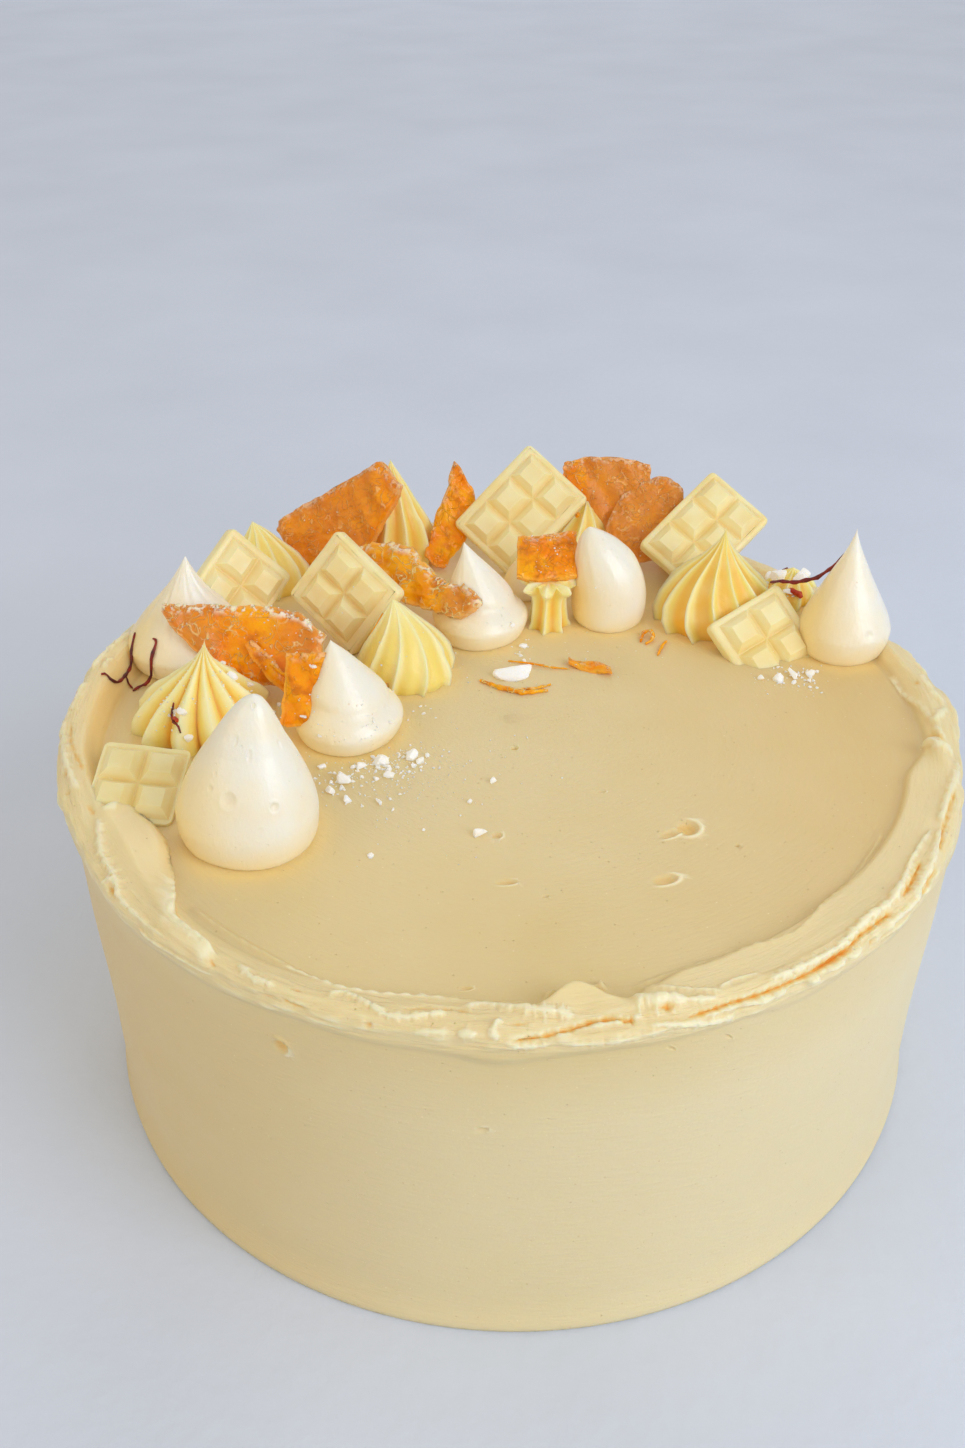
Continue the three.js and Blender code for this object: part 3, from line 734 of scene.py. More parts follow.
STROKES = (
    # the flap folded on to the top at the left
    Stroke(S, ((206, 98.4), (205.2, 94.5), (206, 90.4), (209.8, 88.9), (213, 89.2), (217, 90.6), (219, 91.6),
        (222, 93.8), (226.2, 97.4), (229, 99.8), (233, 100.6), (237, 101.2)), 0.35, 2.1, 0.0, 3.0),
    Stroke(R, ((206.5, 98.8), (208.5, 99.2), (212.8, 101.2), (217.8, 101.8), (221.8, 104)), 0.9, 0.9),
    Stroke(C, ((218.4, 103.9), (221.4, 104.9)), 0.5, 1.0, 0.8),
    Stroke(C, ((203.5, 100), (206, 99.4)), 0.5, 0.9, 0.7),
    Stroke(R, ((217.2, 103.4), (218.8, 103.2)), 1.0, 0.8),
    # the low step of the top and the ledge outside it
    Stroke(S, ((226.8, 93.4), (234, 93.6), (240.2, 94), (246.2, 95.2), (250.8, 97), (255.5, 96.4),
        (261, 94.8), (268, 94), (272.5, 93.6)), 0.35, 0.5, 0.35, 2.5),
    Stroke(R, ((230, 100.2), (233, 101), (236, 101.2)), 0.5, 0.7),
    Stroke(R, ((238.8, 100.6), (242, 102.4), (245.2, 102.2)), 0.6, 0.8),
    Stroke(R, ((251, 102.2), (251, 100.2), (252.2, 99.2), (255.2, 101.2), (257.5, 102.6), (259.5, 102.4),
        (261.5, 101.4), (264, 100.4)), 0.55, 0.9),
    Stroke(C, ((245.5, 104), (247, 104.8), (249.5, 105)), 0.45, 0.8, 0.6),
    Stroke(C, ((236.2, 102.4), (237.2, 103.8)), 0.45, 0.8, 0.6),
    Stroke(C, ((246.2, 101.9), (248, 101.7)), 0.4, 0.6, 0.6),
    Stroke(C, ((255.4, 105), (256.2, 105)), 0.7, 1.0, 0.8),
    Stroke(C, ((258.5, 101.2), (261, 99.6), (264.2, 99.2), (267, 100.6)), 0.45, 0.7, 0.6),
    # the twisted lobe at the front and its long crevice
    Stroke(R, ((264.5, 98.6), (267.5, 97.4), (269.8, 98.4), (272.2, 99.6), (275, 99.8), (277.2, 100.6)), 0.9,
               0.9),
    Stroke(R, ((269.4, 101), (268.5, 102.8), (268.2, 104.6), (269.3, 106)), 0.55, 1.0),
    Stroke(C, ((269.6, 102.6), (272, 102.2)), 0.45, 0.7, 0.7),
    Stroke(R, ((264.5, 104.4), (267, 105.2)), 1.0, 0.6),
    Stroke(C, ((269.8, 106.2), (272.2, 104.9), (274.8, 103.7), (278.2, 102), (280.4, 102), (282.4, 103)), 0.5,
               1.6, 1.0),
    Stroke(C, ((281.2, 102.6), (282.6, 102.9)), 0.7, 1.8, 1.2),
    Stroke(C, ((283, 102.4), (285, 102.4)), 0.4, 0.6, 0.5),
    Stroke(C, ((285, 101.4), (287.4, 101.8)), 0.45, 1.0, 0.9),
    # the tongue dragged inwards
    Stroke(R, ((273.2, 95.6), (274.4, 92.8), (277.5, 91.2), (280.5, 91.6), (282, 93.6)), 0.8, 1.1),
    Stroke(R, ((274.6, 92.6), (275, 92)), 0.7, 0.8),
    Stroke(R, ((277.4, 91), (277.8, 90.6)), 0.6, 0.9),
    Stroke(R, ((280.4, 91.4), (281, 91)), 0.7, 0.9),
    # the broad smooth band on the right
    Stroke(S, ((284, 92.4), (288.5, 91), (293.8, 90.4), (299.5, 91.4), (302.6, 93.2), (305.8, 94),
        (309.5, 92.8), (313, 91.4), (317.2, 91), (324.5, 90.2), (332, 89.6)), 0.35, 0.35, 0.2, 1.6),
    Stroke(R, ((284, 92), (286.5, 95), (288.8, 97.6), (291, 99.8), (293.2, 101.6)), 0.7, 0.5),
    Stroke(R, ((282.4, 98.6), (285.5, 99.6), (288.6, 101.4)), 1.5, 1.1),
    Stroke(R, ((283.5, 100.4), (287, 100.6), (292.4, 102.2)), 0.6, 0.7),
    Stroke(C, ((284.4, 96.8), (287.2, 98.9)), 0.5, 0.5, 0.2),
    Stroke(R, ((291.8, 100.6), (294.5, 99.2), (298.2, 100)), 0.5, 0.45),
    Stroke(R, ((285.8, 105.2), (289.2, 105.8), (294, 106.6)), 0.8, 0.8),
    Stroke(R, ((283.6, 104.2), (287, 104.8), (290, 105.6)), 0.5, 0.6),
    Stroke(R, ((297.5, 101.6), (300.5, 102.2), (306.8, 102.6), (310.2, 101.7), (313, 101.2), (317, 101.6),
        (321, 100.8)), 0.6, 0.9),
    Stroke(C, ((287.6, 104.4), (290, 104), (293, 103.5), (296, 103.8), (301.2, 104), (305.2, 104.1),
        (308, 103.9), (310.8, 102.9), (314.5, 103), (317, 103.3)), 0.5, 1.8, 1.0),
    Stroke(C, ((303.6, 104), (308.6, 103.8)), 0.75, 1.2, 0.8),
    Stroke(R, ((294.4, 105), (297.5, 105.2), (300.2, 104.8)), 0.5, 0.8),
    Stroke(R, ((301.9, 105.2), (303.6, 105.2)), 0.9, 1.2),
    Stroke(R, ((304.6, 105.2), (307.4, 105.1)), 0.5, 0.9),
    Stroke(R, ((307.8, 105.5), (310, 104.8)), 0.6, 0.8),
    Stroke(C, ((311.2, 105.8), (312.6, 105.6)), 0.7, 0.9, 0.7),
    Stroke(R, ((317.5, 101.4), (321.5, 100.6), (325.5, 99.2), (329.5, 99.1), (333, 99.8)), 0.55, 0.9),
    Stroke(R, ((319.6, 104), (323.8, 103), (329, 102.1), (333.2, 101)), 0.6, 0.9),
    Stroke(R, ((334, 100.4), (338.8, 100.6), (342.2, 101.2), (346, 102), (349.4, 102.8)), 0.7, 0.7),
    Stroke(C, ((342.5, 102), (337.8, 101.6), (333, 101.9), (328.5, 102.9)), 0.5, 1.3, 1.0),
    Stroke(C, ((326.6, 100.6), (322.5, 101.9), (318.6, 102.6)), 0.5, 1.4, 1.0),
    Stroke(C, ((327.2, 104), (324, 104.3), (320.4, 105)), 0.45, 1.1, 0.9),
    Stroke(C, ((336, 105), (341, 104.4), (347, 104.4)), 0.5, 0.7, 0.5),
    # where the band ends on the right
    Stroke(R, ((354, 95.4), (352.6, 97), (350.5, 98.2), (350.2, 100.8), (350, 102.6)), 0.7, 1.5),
    Stroke(C, ((355.6, 96), (353.4, 98.6), (352, 101.4)), 0.6, 1.0, 0.7),
    Stroke(R, ((356.4, 98.4), (359, 101.2), (360.6, 103.6)), 0.7, 1.3),
    Stroke(R, ((356.2, 98.6), (353.6, 99.6), (352, 101.2)), 0.45, 0.8),
    Stroke(C, ((366, 99.4), (367, 98.6)), 0.8, 1.0, 0.9),
    Stroke(R, ((369, 101.4), (366.5, 101.2), (363, 101.6), (361.4, 104)), 0.6, 1.1),
    Stroke(S, ((371.8, 95.8), (367, 95.6), (361.5, 97.4), (357, 98.2)), 0.3, 0.35, 0.2, 2.0),
    # the tall icing at the left
    Stroke(C, ((185.8, 103.2), (189, 102.8), (193, 101.2), (197.5, 99)), 0.5, 1.0, 0.6),
    Stroke(R, ((184, 104.8), (190, 104.4), (196, 102.6), (201, 101)), 0.8, 0.8),
    Stroke(R, ((170.2, 100.2), (172.4, 101.4), (173.8, 100)), 0.6, 0.9),
    Stroke(C, ((196.3, 103.4), (197.3, 103.4)), 0.8, 0.8, 0.8),
    Stroke(C, ((199.6, 103.8), (200.4, 103.8)), 0.8, 0.8, 0.8),
    Stroke(R, ((176, 103.2), (182, 104.2), (188, 106)), 0.7, 0.7),
    Stroke(R, ((163, 101.6), (168, 103), (174, 103.4)), 0.7, 0.8),
    Stroke(C, ((160, 103.6), (166, 104.6), (171, 105)), 0.5, 0.8, 0.5),
)


@dataclass
class SweptCrown:
    """The icing of the side, swept over the edge on to the top, as a grid over azimuth and distance across.

    Distance across is measured from the middle of the top, over the lip and down the side.
    """

    crown_height: float = 3.6
    crown_radius: float = 99.6
    lip_radius: float = 104.2
    inner_radius: float = 96.3
    azimuth_step: float = 0.25
    across_step: float = 0.25
    first: float = 84.0
    last: float = 118.0
    rounding: float = 0.5  # how soft the crown's own edges are
    strands: int = 46
    seed: int = 7
    azimuths: Array = field(init=False)
    across: Array = field(init=False)
    raised: Array = field(init=False)
    # Painted shade in the crevices and hollows, with a painted glow at the left.
    hollow: Array = field(init=False)
    swept: Array = field(init=False)  # where fine strands show
    crest: Array = field(init=False)  # where the relief stands out, for painted highlights

    def __post_init__(self) -> None:
        """Lays out the grid."""
        self.azimuths = np.arange(0, 360, self.azimuth_step)
        self.across = np.arange(self.first, self.last, self.across_step)
        self.raised = np.zeros((len(self.azimuths), len(self.across)))
        self.hollow = np.zeros_like(self.raised)
        self.swept = np.zeros_like(self.raised)
        self.crest = np.zeros_like(self.raised)

    def profile(self) -> tuple[Array, Array]:
        """The swept crown before any mark.

        Returns:
            Radius and height at every place of the grid.
        """
        a = self.azimuths
        band = ease(a, 280, 292) * (1 - ease(a, 344, 355))
        end, flap, peak = hill(a, 351, 4), hill(a, 212, 10), hill(a, 277.2, 3.4)
        tall = ease(a, 128, 150) * (1 - ease(a, 190, 212))
        lobe, ridge = hill(a, 268, 4), hill(a, 249, 14)
        ripple = np.sin(np.radians(a * 7)) * 0.35 + np.sin(np.radians(a * 13 + 40)) * 0.3
        inner = self.inner_radius - 4.8 * band - 6.6 * flap - 2.2 * hill(a, 262, 8) - 3.6 * peak
        middle = self.crown_radius - 3.4 * flap + 2.4 * ridge - 5 * peak - 1.2 * end + 1.4 * band
        height = self.crown_height + ripple + 1.4 * flap - hill(a, 236, 6)
        height = height + 2.2 * peak + 1.4 * end + 2.2 * tall
        outer = self.crown_height * 0.75 + ripple * 0.8 + 0.9 * lobe + 3.2 * tall + 0.5 * flap
        lip = self.lip_radius + ripple * 0.7 + 1.0 * lobe + 1.2 * hill(a, 2, 6) + 1.6 * tall
        step = 0.9 + 0.6 * band + 1.3 * flap
        half = (lip + middle) / 2
        shelf = middle - np.minimum(1.8, (middle - inner) * 0.3)
        scallop = 0.5 * np.sin(np.radians(a * 11 + 20)) + 0.4 * np.sin(np.radians(a * 23))
        keys = (
        (0, 0, TOP),
            (inner, inner, TOP),
            (inner + 0.5, inner + 0.5, TOP + step),
            (shelf, shelf, TOP + 0.84 * height),
            (middle, middle, TOP + height),
            (half + 0.4, half + 0.4, TOP + outer),
            (lip + 0.5, lip, TOP + outer * 0.6),
            (lip + 2.9 + outer * 0.6 + scallop, lip + 0.3, TOP - 2.2 - scallop),
        (109.6 + scallop, CAKE_RADIUS + 0.7, TOP - 3.6 - scallop),
        (115.0, CAKE_RADIUS + 0.6, TOP - 8.9),
        (120.0, CAKE_RADIUS + 0.56, TOP - 13.9),
        )
        tables = []
        for part in range(3):
            tables.append(np.stack([np.broadcast_to(key[part], a.shape) for key in keys], axis=1))
        reach = np.arange(-8, 9) * self.across_step
        kernel = bell(reach, self.rounding)
        kernel /= kernel.sum()
        radius, level = np.empty_like(self.raised), np.empty_like(self.raised)
        margin = 4
        wide = np.arange(self.first - margin, self.last + margin, self.across_step)
        left_out = round(margin / self.across_step)
        keep = slice(left_out, left_out + len(self.across))
        for row, places in enumerate(tables[0]):
            radius[row] = np.convolve(np.interp(wide, places, tables[1][row]), kernel, "same")[keep]
            level[row] = np.convolve(np.interp(wide, places, tables[2][row]), kernel, "same")[keep]
        return radius, level

    def draw(self, stroke: Stroke) -> None:
        """Works one stroke into the grid."""
        arc = math.radians(1) * CAKE_RADIUS
        points = np.array([(azimuth * arc, across) for azimuth, across in stroke.line])
        reach = stroke.width * 3.5 + (stroke.run * 2 if stroke.mark is Mark.SHEET else 0)
        turns = np.concatenate([self.azimuths - 360, self.azimuths, self.azimuths + 360]) * arc
        near = np.flatnonzero((turns > points[:, 0].min() - reach) & (turns < points[:, 0].max() + reach))
        x = turns[near][:, None]
        y = self.across[None, :]
        lengths = np.hypot(*np.diff(points, axis=0).T)
        total, walked = lengths.sum(), 0.0
        away = np.full(np.broadcast(x, y).shape, 1e9)
        along, side = np.zeros_like(away), np.zeros_like(away)
        for (start, end), length in zip(pairwise(points), lengths):
            ux, uy = (end - start) / length
            part = np.clip(((x - start[0]) * ux + (y - start[1]) * uy), 0, length)
            gap = np.hypot(x - start[0] - part * ux, y - start[1] - part * uy)
            closer = gap < away
            away = np.where(closer, gap, away)
            along = np.where(closer, walked + part, along)
            side = np.where(closer, ux * (y - start[1]) - uy * (x - start[0]), side)
            walked += length
        taper = min(3.0, total * 0.3)
        fade = ease(along, -0.01, taper) * ease(total - along, -0.01, taper)
        rows = near % len(self.azimuths)
        if stroke.mark is Mark.SHEET:
            outward = np.where(side > 0, away, -away) * (1 if points[-1, 0] > points[0, 0] else -1)
            cliff = ease(outward, -stroke.width, stroke.width)
            shape = cliff * bell(np.maximum(outward, 0), stroke.run) * fade
            foot = bell(outward + stroke.width, stroke.width * 1.6) * fade
            edge = bell(outward - 0.45, 0.4) * fade * (1 + 0.5 * np.sin(along * 1.9))
            self.raised[rows] += stroke.height * shape + 0.34 * edge
            # Painted shade at the foot of the sheet, under its raised edge.
            self.hollow[rows] = np.maximum(self.hollow[rows], foot * stroke.hollow_shade)
        else:
            wavy = 1 + 0.3 * np.sin(along * 1.7 + points[0, 0]) + 0.25 * np.sin(along * 3.9)
            wavy = wavy + 0.15 * np.sin(along * 7.3)
            shape = bell(away, stroke.width * wavy) * fade
            rise = 1.1 if stroke.mark is Mark.RIDGE else -0.55
            self.raised[rows] += rise * stroke.height * shape
            broken = 0.75 + 0.25 * np.sin(along * 2.3 + points[0, 0] * 3)
            # Painted shade along the mark.
            self.hollow[rows] = np.maximum(self.hollow[rows], shape * stroke.hollow_shade * broken)

    def strand(self, chance: np.random.Generator) -> None:
        """Draws one thin random strand or scratch that runs along the rim."""
        azimuth = chance.uniform(0, 360)
        at_back = 15 < azimuth < 150
        across = chance.uniform(97.5, 107.2) if at_back else chance.uniform(103.2, 107.2)
        length = chance.uniform(4, 15)
        drift = chance.uniform(-1.6, 1.6)
        bow = chance.uniform(-0.8, 0.8)
        line = tuple(
            (azimuth + length * t, across + drift * t + bow * math.sin(math.pi * t))
            for t in (0, 0.3, 0.65, 1)
        )
        deep = chance.uniform(0, 1) < (0.4 if at_back else 0.25)
        width = chance.uniform(0.35, 0.75)
        size = chance.uniform(0.2, 0.6)
        self.draw(Stroke(C if deep else R, line, width, size, size * 0.5 if deep else 0.0))

    def drag(self) -> None:
        """Adds the fine streaks that the knife drags along the rim, and the lip's lumps."""
        arc = np.radians(self.azimuths) * CAKE_RADIUS
        x, y = np.meshgrid(arc, self.across, indexing="ij")
        round_x = np.cos(x / CAKE_RADIUS) * CAKE_RADIUS
        round_y = np.sin(x / CAKE_RADIUS) * CAKE_RADIUS
        flat = np.stack([round_x.ravel(), round_y.ravel(), y.ravel()], axis=1)
        on_crown = ease(self.across, 96, 100) * (1 - ease(self.across, 107, 109.5))
        on_lip = ease(self.across, 102.5, 104.5) * (1 - ease(self.across, 107, 109))
        streaks = rumple(flat, (7, 7, 0.9), 3) + 0.6 * rumple(flat, (4, 4, 0.5), 4)
        lumps = rumple(flat, (3.2, 3.2, 2.4), 5)
        broad = rumple(flat, (16, 16, 4), 6)
        shape = self.raised.shape
        band = ease(self.azimuths, 282, 290) * (1 - ease(self.azimuths, 344, 352))
        left = 0.7 * hill(self.azimuths, 185, 24)
        calm = np.maximum.reduce([band, hill(self.azimuths, 212, 9), left])
        smooth = calm[:, None] * (1 - ease(self.across, 100, 102))[None, :]
        rough = 1 - 0.85 * smooth
        self.swept = rough * on_crown
        self.raised += 0.17 * streaks.reshape(shape) * self.swept + 0.4 * lumps.reshape(shape) * on_lip
        self.raised += 0.35 * broad.reshape(shape) * on_crown

    def blurred(self, width: float) -> Array:
        """The relief evened out over a width."""
        reach = np.arange(-round(width * 8), round(width * 8) + 1)
        kernel = bell(reach * self.across_step, width)
        kernel /= kernel.sum()
        mean = self.raised
        for axis in (0, 1):
            mean = sum(np.roll(mean, shift, axis) * weight for shift, weight in zip(reach, kernel))
        return mean

    def hollows(self) -> None:
        """Adds painted shade where the finished relief dips below what is round it and a painted glow at the
        left of the rim, and marks its crests for painted highlights.
        """
        fine = self.blurred(0.9) - self.raised
        broad = self.blurred(2.6) - self.raised
        # Painted shade where the relief dips, fine and broad.
        self.hollow += np.clip(fine - 0.12, 0, 1) * 0.7 + np.clip(broad - 0.1, 0, 1) * 0.35
        # Painted glow: a warm tint in the hollows at the left of the rim, standing in for light through the
        # icing.
        lit_through = hill(self.azimuths, 178, 26)[:, None] * hill(self.across, 97.5, 4.5)[None, :]
        self.hollow = np.clip(self.hollow + 0.6 * lit_through, 0, 1.4)
        # Painted highlight where the relief stands out.
        self.crest = np.clip(-fine * 1.6 - broad * 0.5, 0, 1)

    def work(self) -> None:
        """Works all marks into the grid."""
        for stroke in STROKES:
            self.draw(stroke)
        chance = np.random.default_rng(self.seed)
        for _ in range(self.strands):
            self.strand(chance)
        self.drag()
        self.hollows()

    def sample(self, grid: Array, azimuth: Array, across: Array) -> Array:
        """Reads a grid between its places.

        Args:
            grid: Values over azimuth and distance across.
            azimuth: Where to read it.
            across: Where to read it.

        Returns:
            One value for each place.
        """
        column = (azimuth % 360) / self.azimuth_step
        row = np.clip((across - self.first) / self.across_step, 0, len(self.across) - 1.001)
        left, low = np.floor(column).astype(int) % len(self.azimuths), np.floor(row).astype(int)
        right = (left + 1) % len(self.azimuths)
        s, t = column - np.floor(column), row - low
        near = grid[left, low] * (1 - t) + grid[left, low + 1] * t
        far = grid[right, low] * (1 - t) + grid[right, low + 1] * t
        return near * (1 - s) + far * s


@dataclass(frozen=True)
class Dent:
    """A mark in the smooth icing: where it is, its half length and width, its turn and its depth."""

    at: Point2
    length: float
    width: float
    turn: float
    depth: float
    lip: float = 0.2  # how far its edge is pushed up


TOP_DENTS = (
    Dent((37.6, -41.8), 3.0, 2.9, 20, 1.0, 0.3),
    Dent((33.6, -43.9), 3.2, 1.5, 25, 0.6, 0.25),
    Dent((31.2, -58.8), 3.4, 1.8, 15, 0.7, 0.25),
    Dent((-1.2, -59.8), 2.9, 1.1, 5, 0.6, 0.2),
    Dent((0.6, -12.4), 1.1, 0.9, 0, 0.9, 0.1),
    Dent((47.7, -47.6), 0.7, 0.6, 0, 0.5, 0.08),
    Dent((-3.2, -44.6), 1.5, 1.3, 0, 0.6, 0.2),
    Dent((-8.5, -90.2), 1.6, 0.7, 5, 0.4, 0.1),
    Dent((20.0, -29.0), 1.2, 0.5, 10, 0.3, 0.15),
    Dent((7.0, -64.0), 1.0, 0.5, 20, 0.3, 0.1),
)

# On the side, as azimuth and distance across.
SIDE_DENTS = (
    Dent((245.0, 118.2), 2.1, 2.0, 0, 1.0, 0.4),
    Dent((267.0, 130.0), 1.8, 0.8, -10, 0.45, 0.2),
    Dent((286.5, 111.5), 1.2, 0.5, 40, 0.3, 0.15),
    Dent((293.0, 112.6), 1.4, 0.4, 45, 0.3, 0.1),
    Dent((235.0, 140.0), 1.0, 0.4, -30, 0.2, 0.1),
)


@dataclass
class IcedCake:
    """The uncut cake under its icing: one closed body, from the middle of its top to that of its foot.

    Its parts are told by their distance across, which is measured over the rim and down the side.
    """

    columns: int = 184
    dense_front: float = 0.3  # how much closer the columns stand at the front
    foot_flare: float = 0.7
    rim_begins: float = 88.0
    rim_ends: float = 117.0
    top_ends: float = 100.0
    foot_begins: float = 184.0
    foot_edge: float = 197.0
    underside_middle: float = 299.0
    crown: SweptCrown = field(default_factory=SweptCrown)

    def rows(self) -> list[float]:
        """Distances across of the unshaped disc's rings."""
        top = np.arange(0, self.rim_begins, 2.0)
        rim = np.arange(self.rim_begins, 116, 2.0)
        side = np.arange(116, self.foot_begins, 4.0)
        foot = np.arange(self.foot_begins, self.foot_edge, 1.625)
        return [*top, *rim, *side, *foot, self.foot_edge, 201.0, 245.0, self.underside_middle]

    def disc(self) -> Piece:
        """A flat disc whose radius is the distance across, finer on the rim than in the middle."""
        piece = spun("iced_cake", [(row, 0.0) for row in self.rows()], self.columns)
        take_up(piece)
        rings = ((self.rim_begins, self.foot_edge, 360), (90.0, 114.0, 360), (96.0, 108.5, 74))
        for first, last, spread in rings:
            def within(centres: Array, _: Array) -> Array:
                """Which faces lie in the ring, and no further from the front than the spread."""
                reach, turn = polar(centres)
                from_front = np.abs((np.degrees(turn) + 270) % 360 - 180)
                return (reach > first) & (reach < last) & (from_front < spread)

            select_faces(piece, within)
            bpy.ops.mesh.subdivide(number_cuts=1)
        for dents in (TOP_DENTS + SIDE_DENTS, TOP_DENTS + SIDE_DENTS, TOP_DENTS):
            spots = [self.spot(dent) for dent in dents]

            def near(centres: Array, _: Array) -> Array:
                """Which faces lie on or round a dent."""
                away = [np.hypot(centres[:, 0] - x, centres[:, 1] - y) - reach for x, y, reach in spots]
                return np.min(away, axis=0) < 0

            select_faces(piece, near)
            bpy.ops.mesh.subdivide(number_cuts=1)
        put_down()
        return piece

    def spot(self, dent: Dent) -> Point3:
        """Where a dent lies on the flat disc, and how far round it the disc is refined."""
        reach = dent.length * 1.4 + 0.3
        if dent in TOP_DENTS:
            azimuth = math.degrees(math.atan2(dent.at[1], dent.at[0]))
            across = math.hypot(*dent.at)
        else:
            azimuth, across = dent.at
            reach *= across / CAKE_RADIUS
        turn = math.radians(self.unwarped(azimuth))
        return across * math.cos(turn), across * math.sin(turn), reach

    def unwarped(self, azimuth: float) -> float:
        """The disc's own azimuth that ends up at the given azimuth of the cake."""
        found = azimuth
        for _ in range(12):
            found = azimuth + math.degrees(self.dense_front) * math.sin(math.radians(found - 270))
        return found

    def dented(self, x: Array, y: Array, dents: Sequence[Dent]) -> tuple[Array, Array]:
        """How far the dents move a smooth surface.

        Args:
            x: Place along the surface.
            y: Place across it.
            dents: The dents, whose places are in the same measure.

        Returns:
            The rise or fall, and how much painted shade lies there.
        """
        moved, dent_shade = np.zeros_like(x), np.zeros_like(x)
        for dent in dents:
            turn = math.radians(dent.turn)
            dx, dy = x - dent.at[0], y - dent.at[1]
            u = (dx * math.cos(turn) + dy * math.sin(turn)) / dent.length
            v = (dy * math.cos(turn) - dx * math.sin(turn)) / dent.width
            away = np.hypot(u, v)
            bowl = 1 - ease(away, 0.35, 1.0)
            rim = bell(away - 1.1, 0.18) * (0.45 + 0.55 * np.tanh(u * 1.5 - v))
            floor = bowl * dent.depth * (0.75 + 0.25 * np.tanh(u * 2))
            moved += rim * dent.lip * 1.5 - floor * 1.2
            dent_shade = np.maximum(dent_shade, bowl * min(0.8, dent.depth * 0.8))
        return moved, dent_shade

    def bare(self, azimuth: Array, across: Array, on_rim: Array) -> tuple[Array, Array, Array, Array]:
        """The cake's form before any mark.

        Args:
            azimuth: Place round the cake.
            across: Distance across.
            on_rim: Which places the swept crown shapes.

        Returns:
            Radius and height, and how far a mark that stands out moves each of them.
        """
        radius_grid, level_grid = self.crown.profile()
        flare = CAKE_RADIUS + self.foot_flare
        side = np.array([
        (115, CAKE_RADIUS + 0.6, TOP - 8.9),
        (133, CAKE_RADIUS + 0.4, TOP * 0.7),
        (164.3, CAKE_RADIUS - 0.4, TOP * 0.35),
        (186, CAKE_RADIUS - 0.4, 9.7),
        (190, CAKE_RADIUS, 5.7),
        (193.5, flare, 2.2),
        (195.4, flare - 0.25, 0.4),
            (self.foot_edge, CAKE_RADIUS - 1, 0),
            (self.underside_middle, 0, 0),
        ])
        on_top = across <= self.top_ends
        radius = np.where(on_top, across, np.interp(across, side[:, 0], side[:, 1]))
        level = np.where(on_top, TOP, np.interp(across, side[:, 0], side[:, 2]))
        rim_radius = self.crown.sample(radius_grid, azimuth, across)
        rim_level = self.crown.sample(level_grid, azimuth, across)
        radius, level = np.where(on_rim, rim_radius, radius), np.where(on_rim, rim_level, level)
        slope_r = np.gradient(radius_grid, axis=1)
        slope_z = np.gradient(level_grid, axis=1)
        out_r = np.where(on_rim, -self.crown.sample(slope_z, azimuth, across), 0)
        out_z = np.where(on_rim, self.crown.sample(slope_r, azimuth, across), 0)
        size = np.hypot(out_r, out_z)
        on_side = ~on_top * (across < self.foot_edge + 0.5)
        out_r = np.where(size > 0, out_r / np.maximum(size, 1e-9), on_side)
        out_z = np.where(size > 0, out_z / np.maximum(size, 1e-9), on_top)
        return radius, level, out_r, out_z

    def mould(self, piece: Piece) -> None:
        """Bends the flat disc into the iced cake and writes the painted shade of its hollows, its painted
        highlights and warm light, and its sweep coordinates.
        """
        across, turn = polar(corners_of(piece))
        turn = np.degrees(turn) % 360
        azimuth = (turn - np.degrees(self.dense_front) * np.sin(np.radians(turn - 270))) % 360
        self.crown.work()
        on_rim = (across > self.crown.first) & (across < self.rim_ends)
        radius, level, out_r, out_z = self.bare(azimuth, across, on_rim)
        raised = np.where(on_rim, self.crown.sample(self.crown.raised, azimuth, across), 0)
        hollow = np.where(on_rim, self.crown.sample(self.crown.hollow, azimuth, across), 0)
        angle = np.radians(azimuth)
        x, y = across * np.cos(angle), across * np.sin(angle)
        on_top = across < self.top_ends - 5
        dip, dent_shade = self.dented(x, y, TOP_DENTS)
        arc = angle * CAKE_RADIUS
        on_side = [replace(d, at=(math.radians(d.at[0]) * CAKE_RADIUS, d.at[1])) for d in SIDE_DENTS]
        side_dip, side_dent_shade = self.dented(arc, across, on_side)
        raised += np.where(on_top, dip, side_dip)
        # Painted shade in the bowls of the dents.
        hollow = np.maximum(hollow, np.where(on_top, dent_shade, side_dent_shade))
        place = np.stack([x, y, across * 0.3], axis=1)
        swell = rumple(place, 34, 11) * 0.22 + rumple(place, 13, 12) * 0.08
        calm = (1 - ease(across, self.foot_begins, 192)) * (0.4 + 0.6 * ease(across, 10, 30))
        raised += swell * calm
        radius, level = radius + raised * out_r, level + raised * out_z
        radius = np.where(across > self.underside_middle - 0.5, 0, radius)
        points = np.stack([radius * np.cos(angle), radius * np.sin(angle), np.maximum(level, 0)], axis=1)
        move_corners(piece, points)
        note(piece, "hollow", hollow)
        # Painted highlight on the pushed-up rims of the dents.
        dent_rim_highlight = np.clip(np.where(on_top, dip, side_dip) * 2.2, 0, 0.6)
        for name, grid, elsewhere in (("swept", self.crown.swept, 0), ("crest", self.crown.crest, dent_rim_highlight)):
            note(piece, name, np.where(on_rim & ~on_top, self.crown.sample(grid, azimuth, across), elsewhere))
        note(piece, "contact", np.where(on_top, self.contact(x, y), 0))
        self.lay_out(piece, angle, across)

    def contact(self, x: Array, y: Array) -> Array:
        """How near each place of the top is to the foot of a piped topping, which lights it warmly."""
        nearest = np.full_like(x, 1e9)
        for topping in (*KISSES, *SWIRLS):
            away = np.hypot(x - topping.at[0], y - topping.at[1]) - topping.radius
            nearest = np.minimum(nearest, np.abs(away))
        return 0.6 * np.exp(-nearest / 2.4)

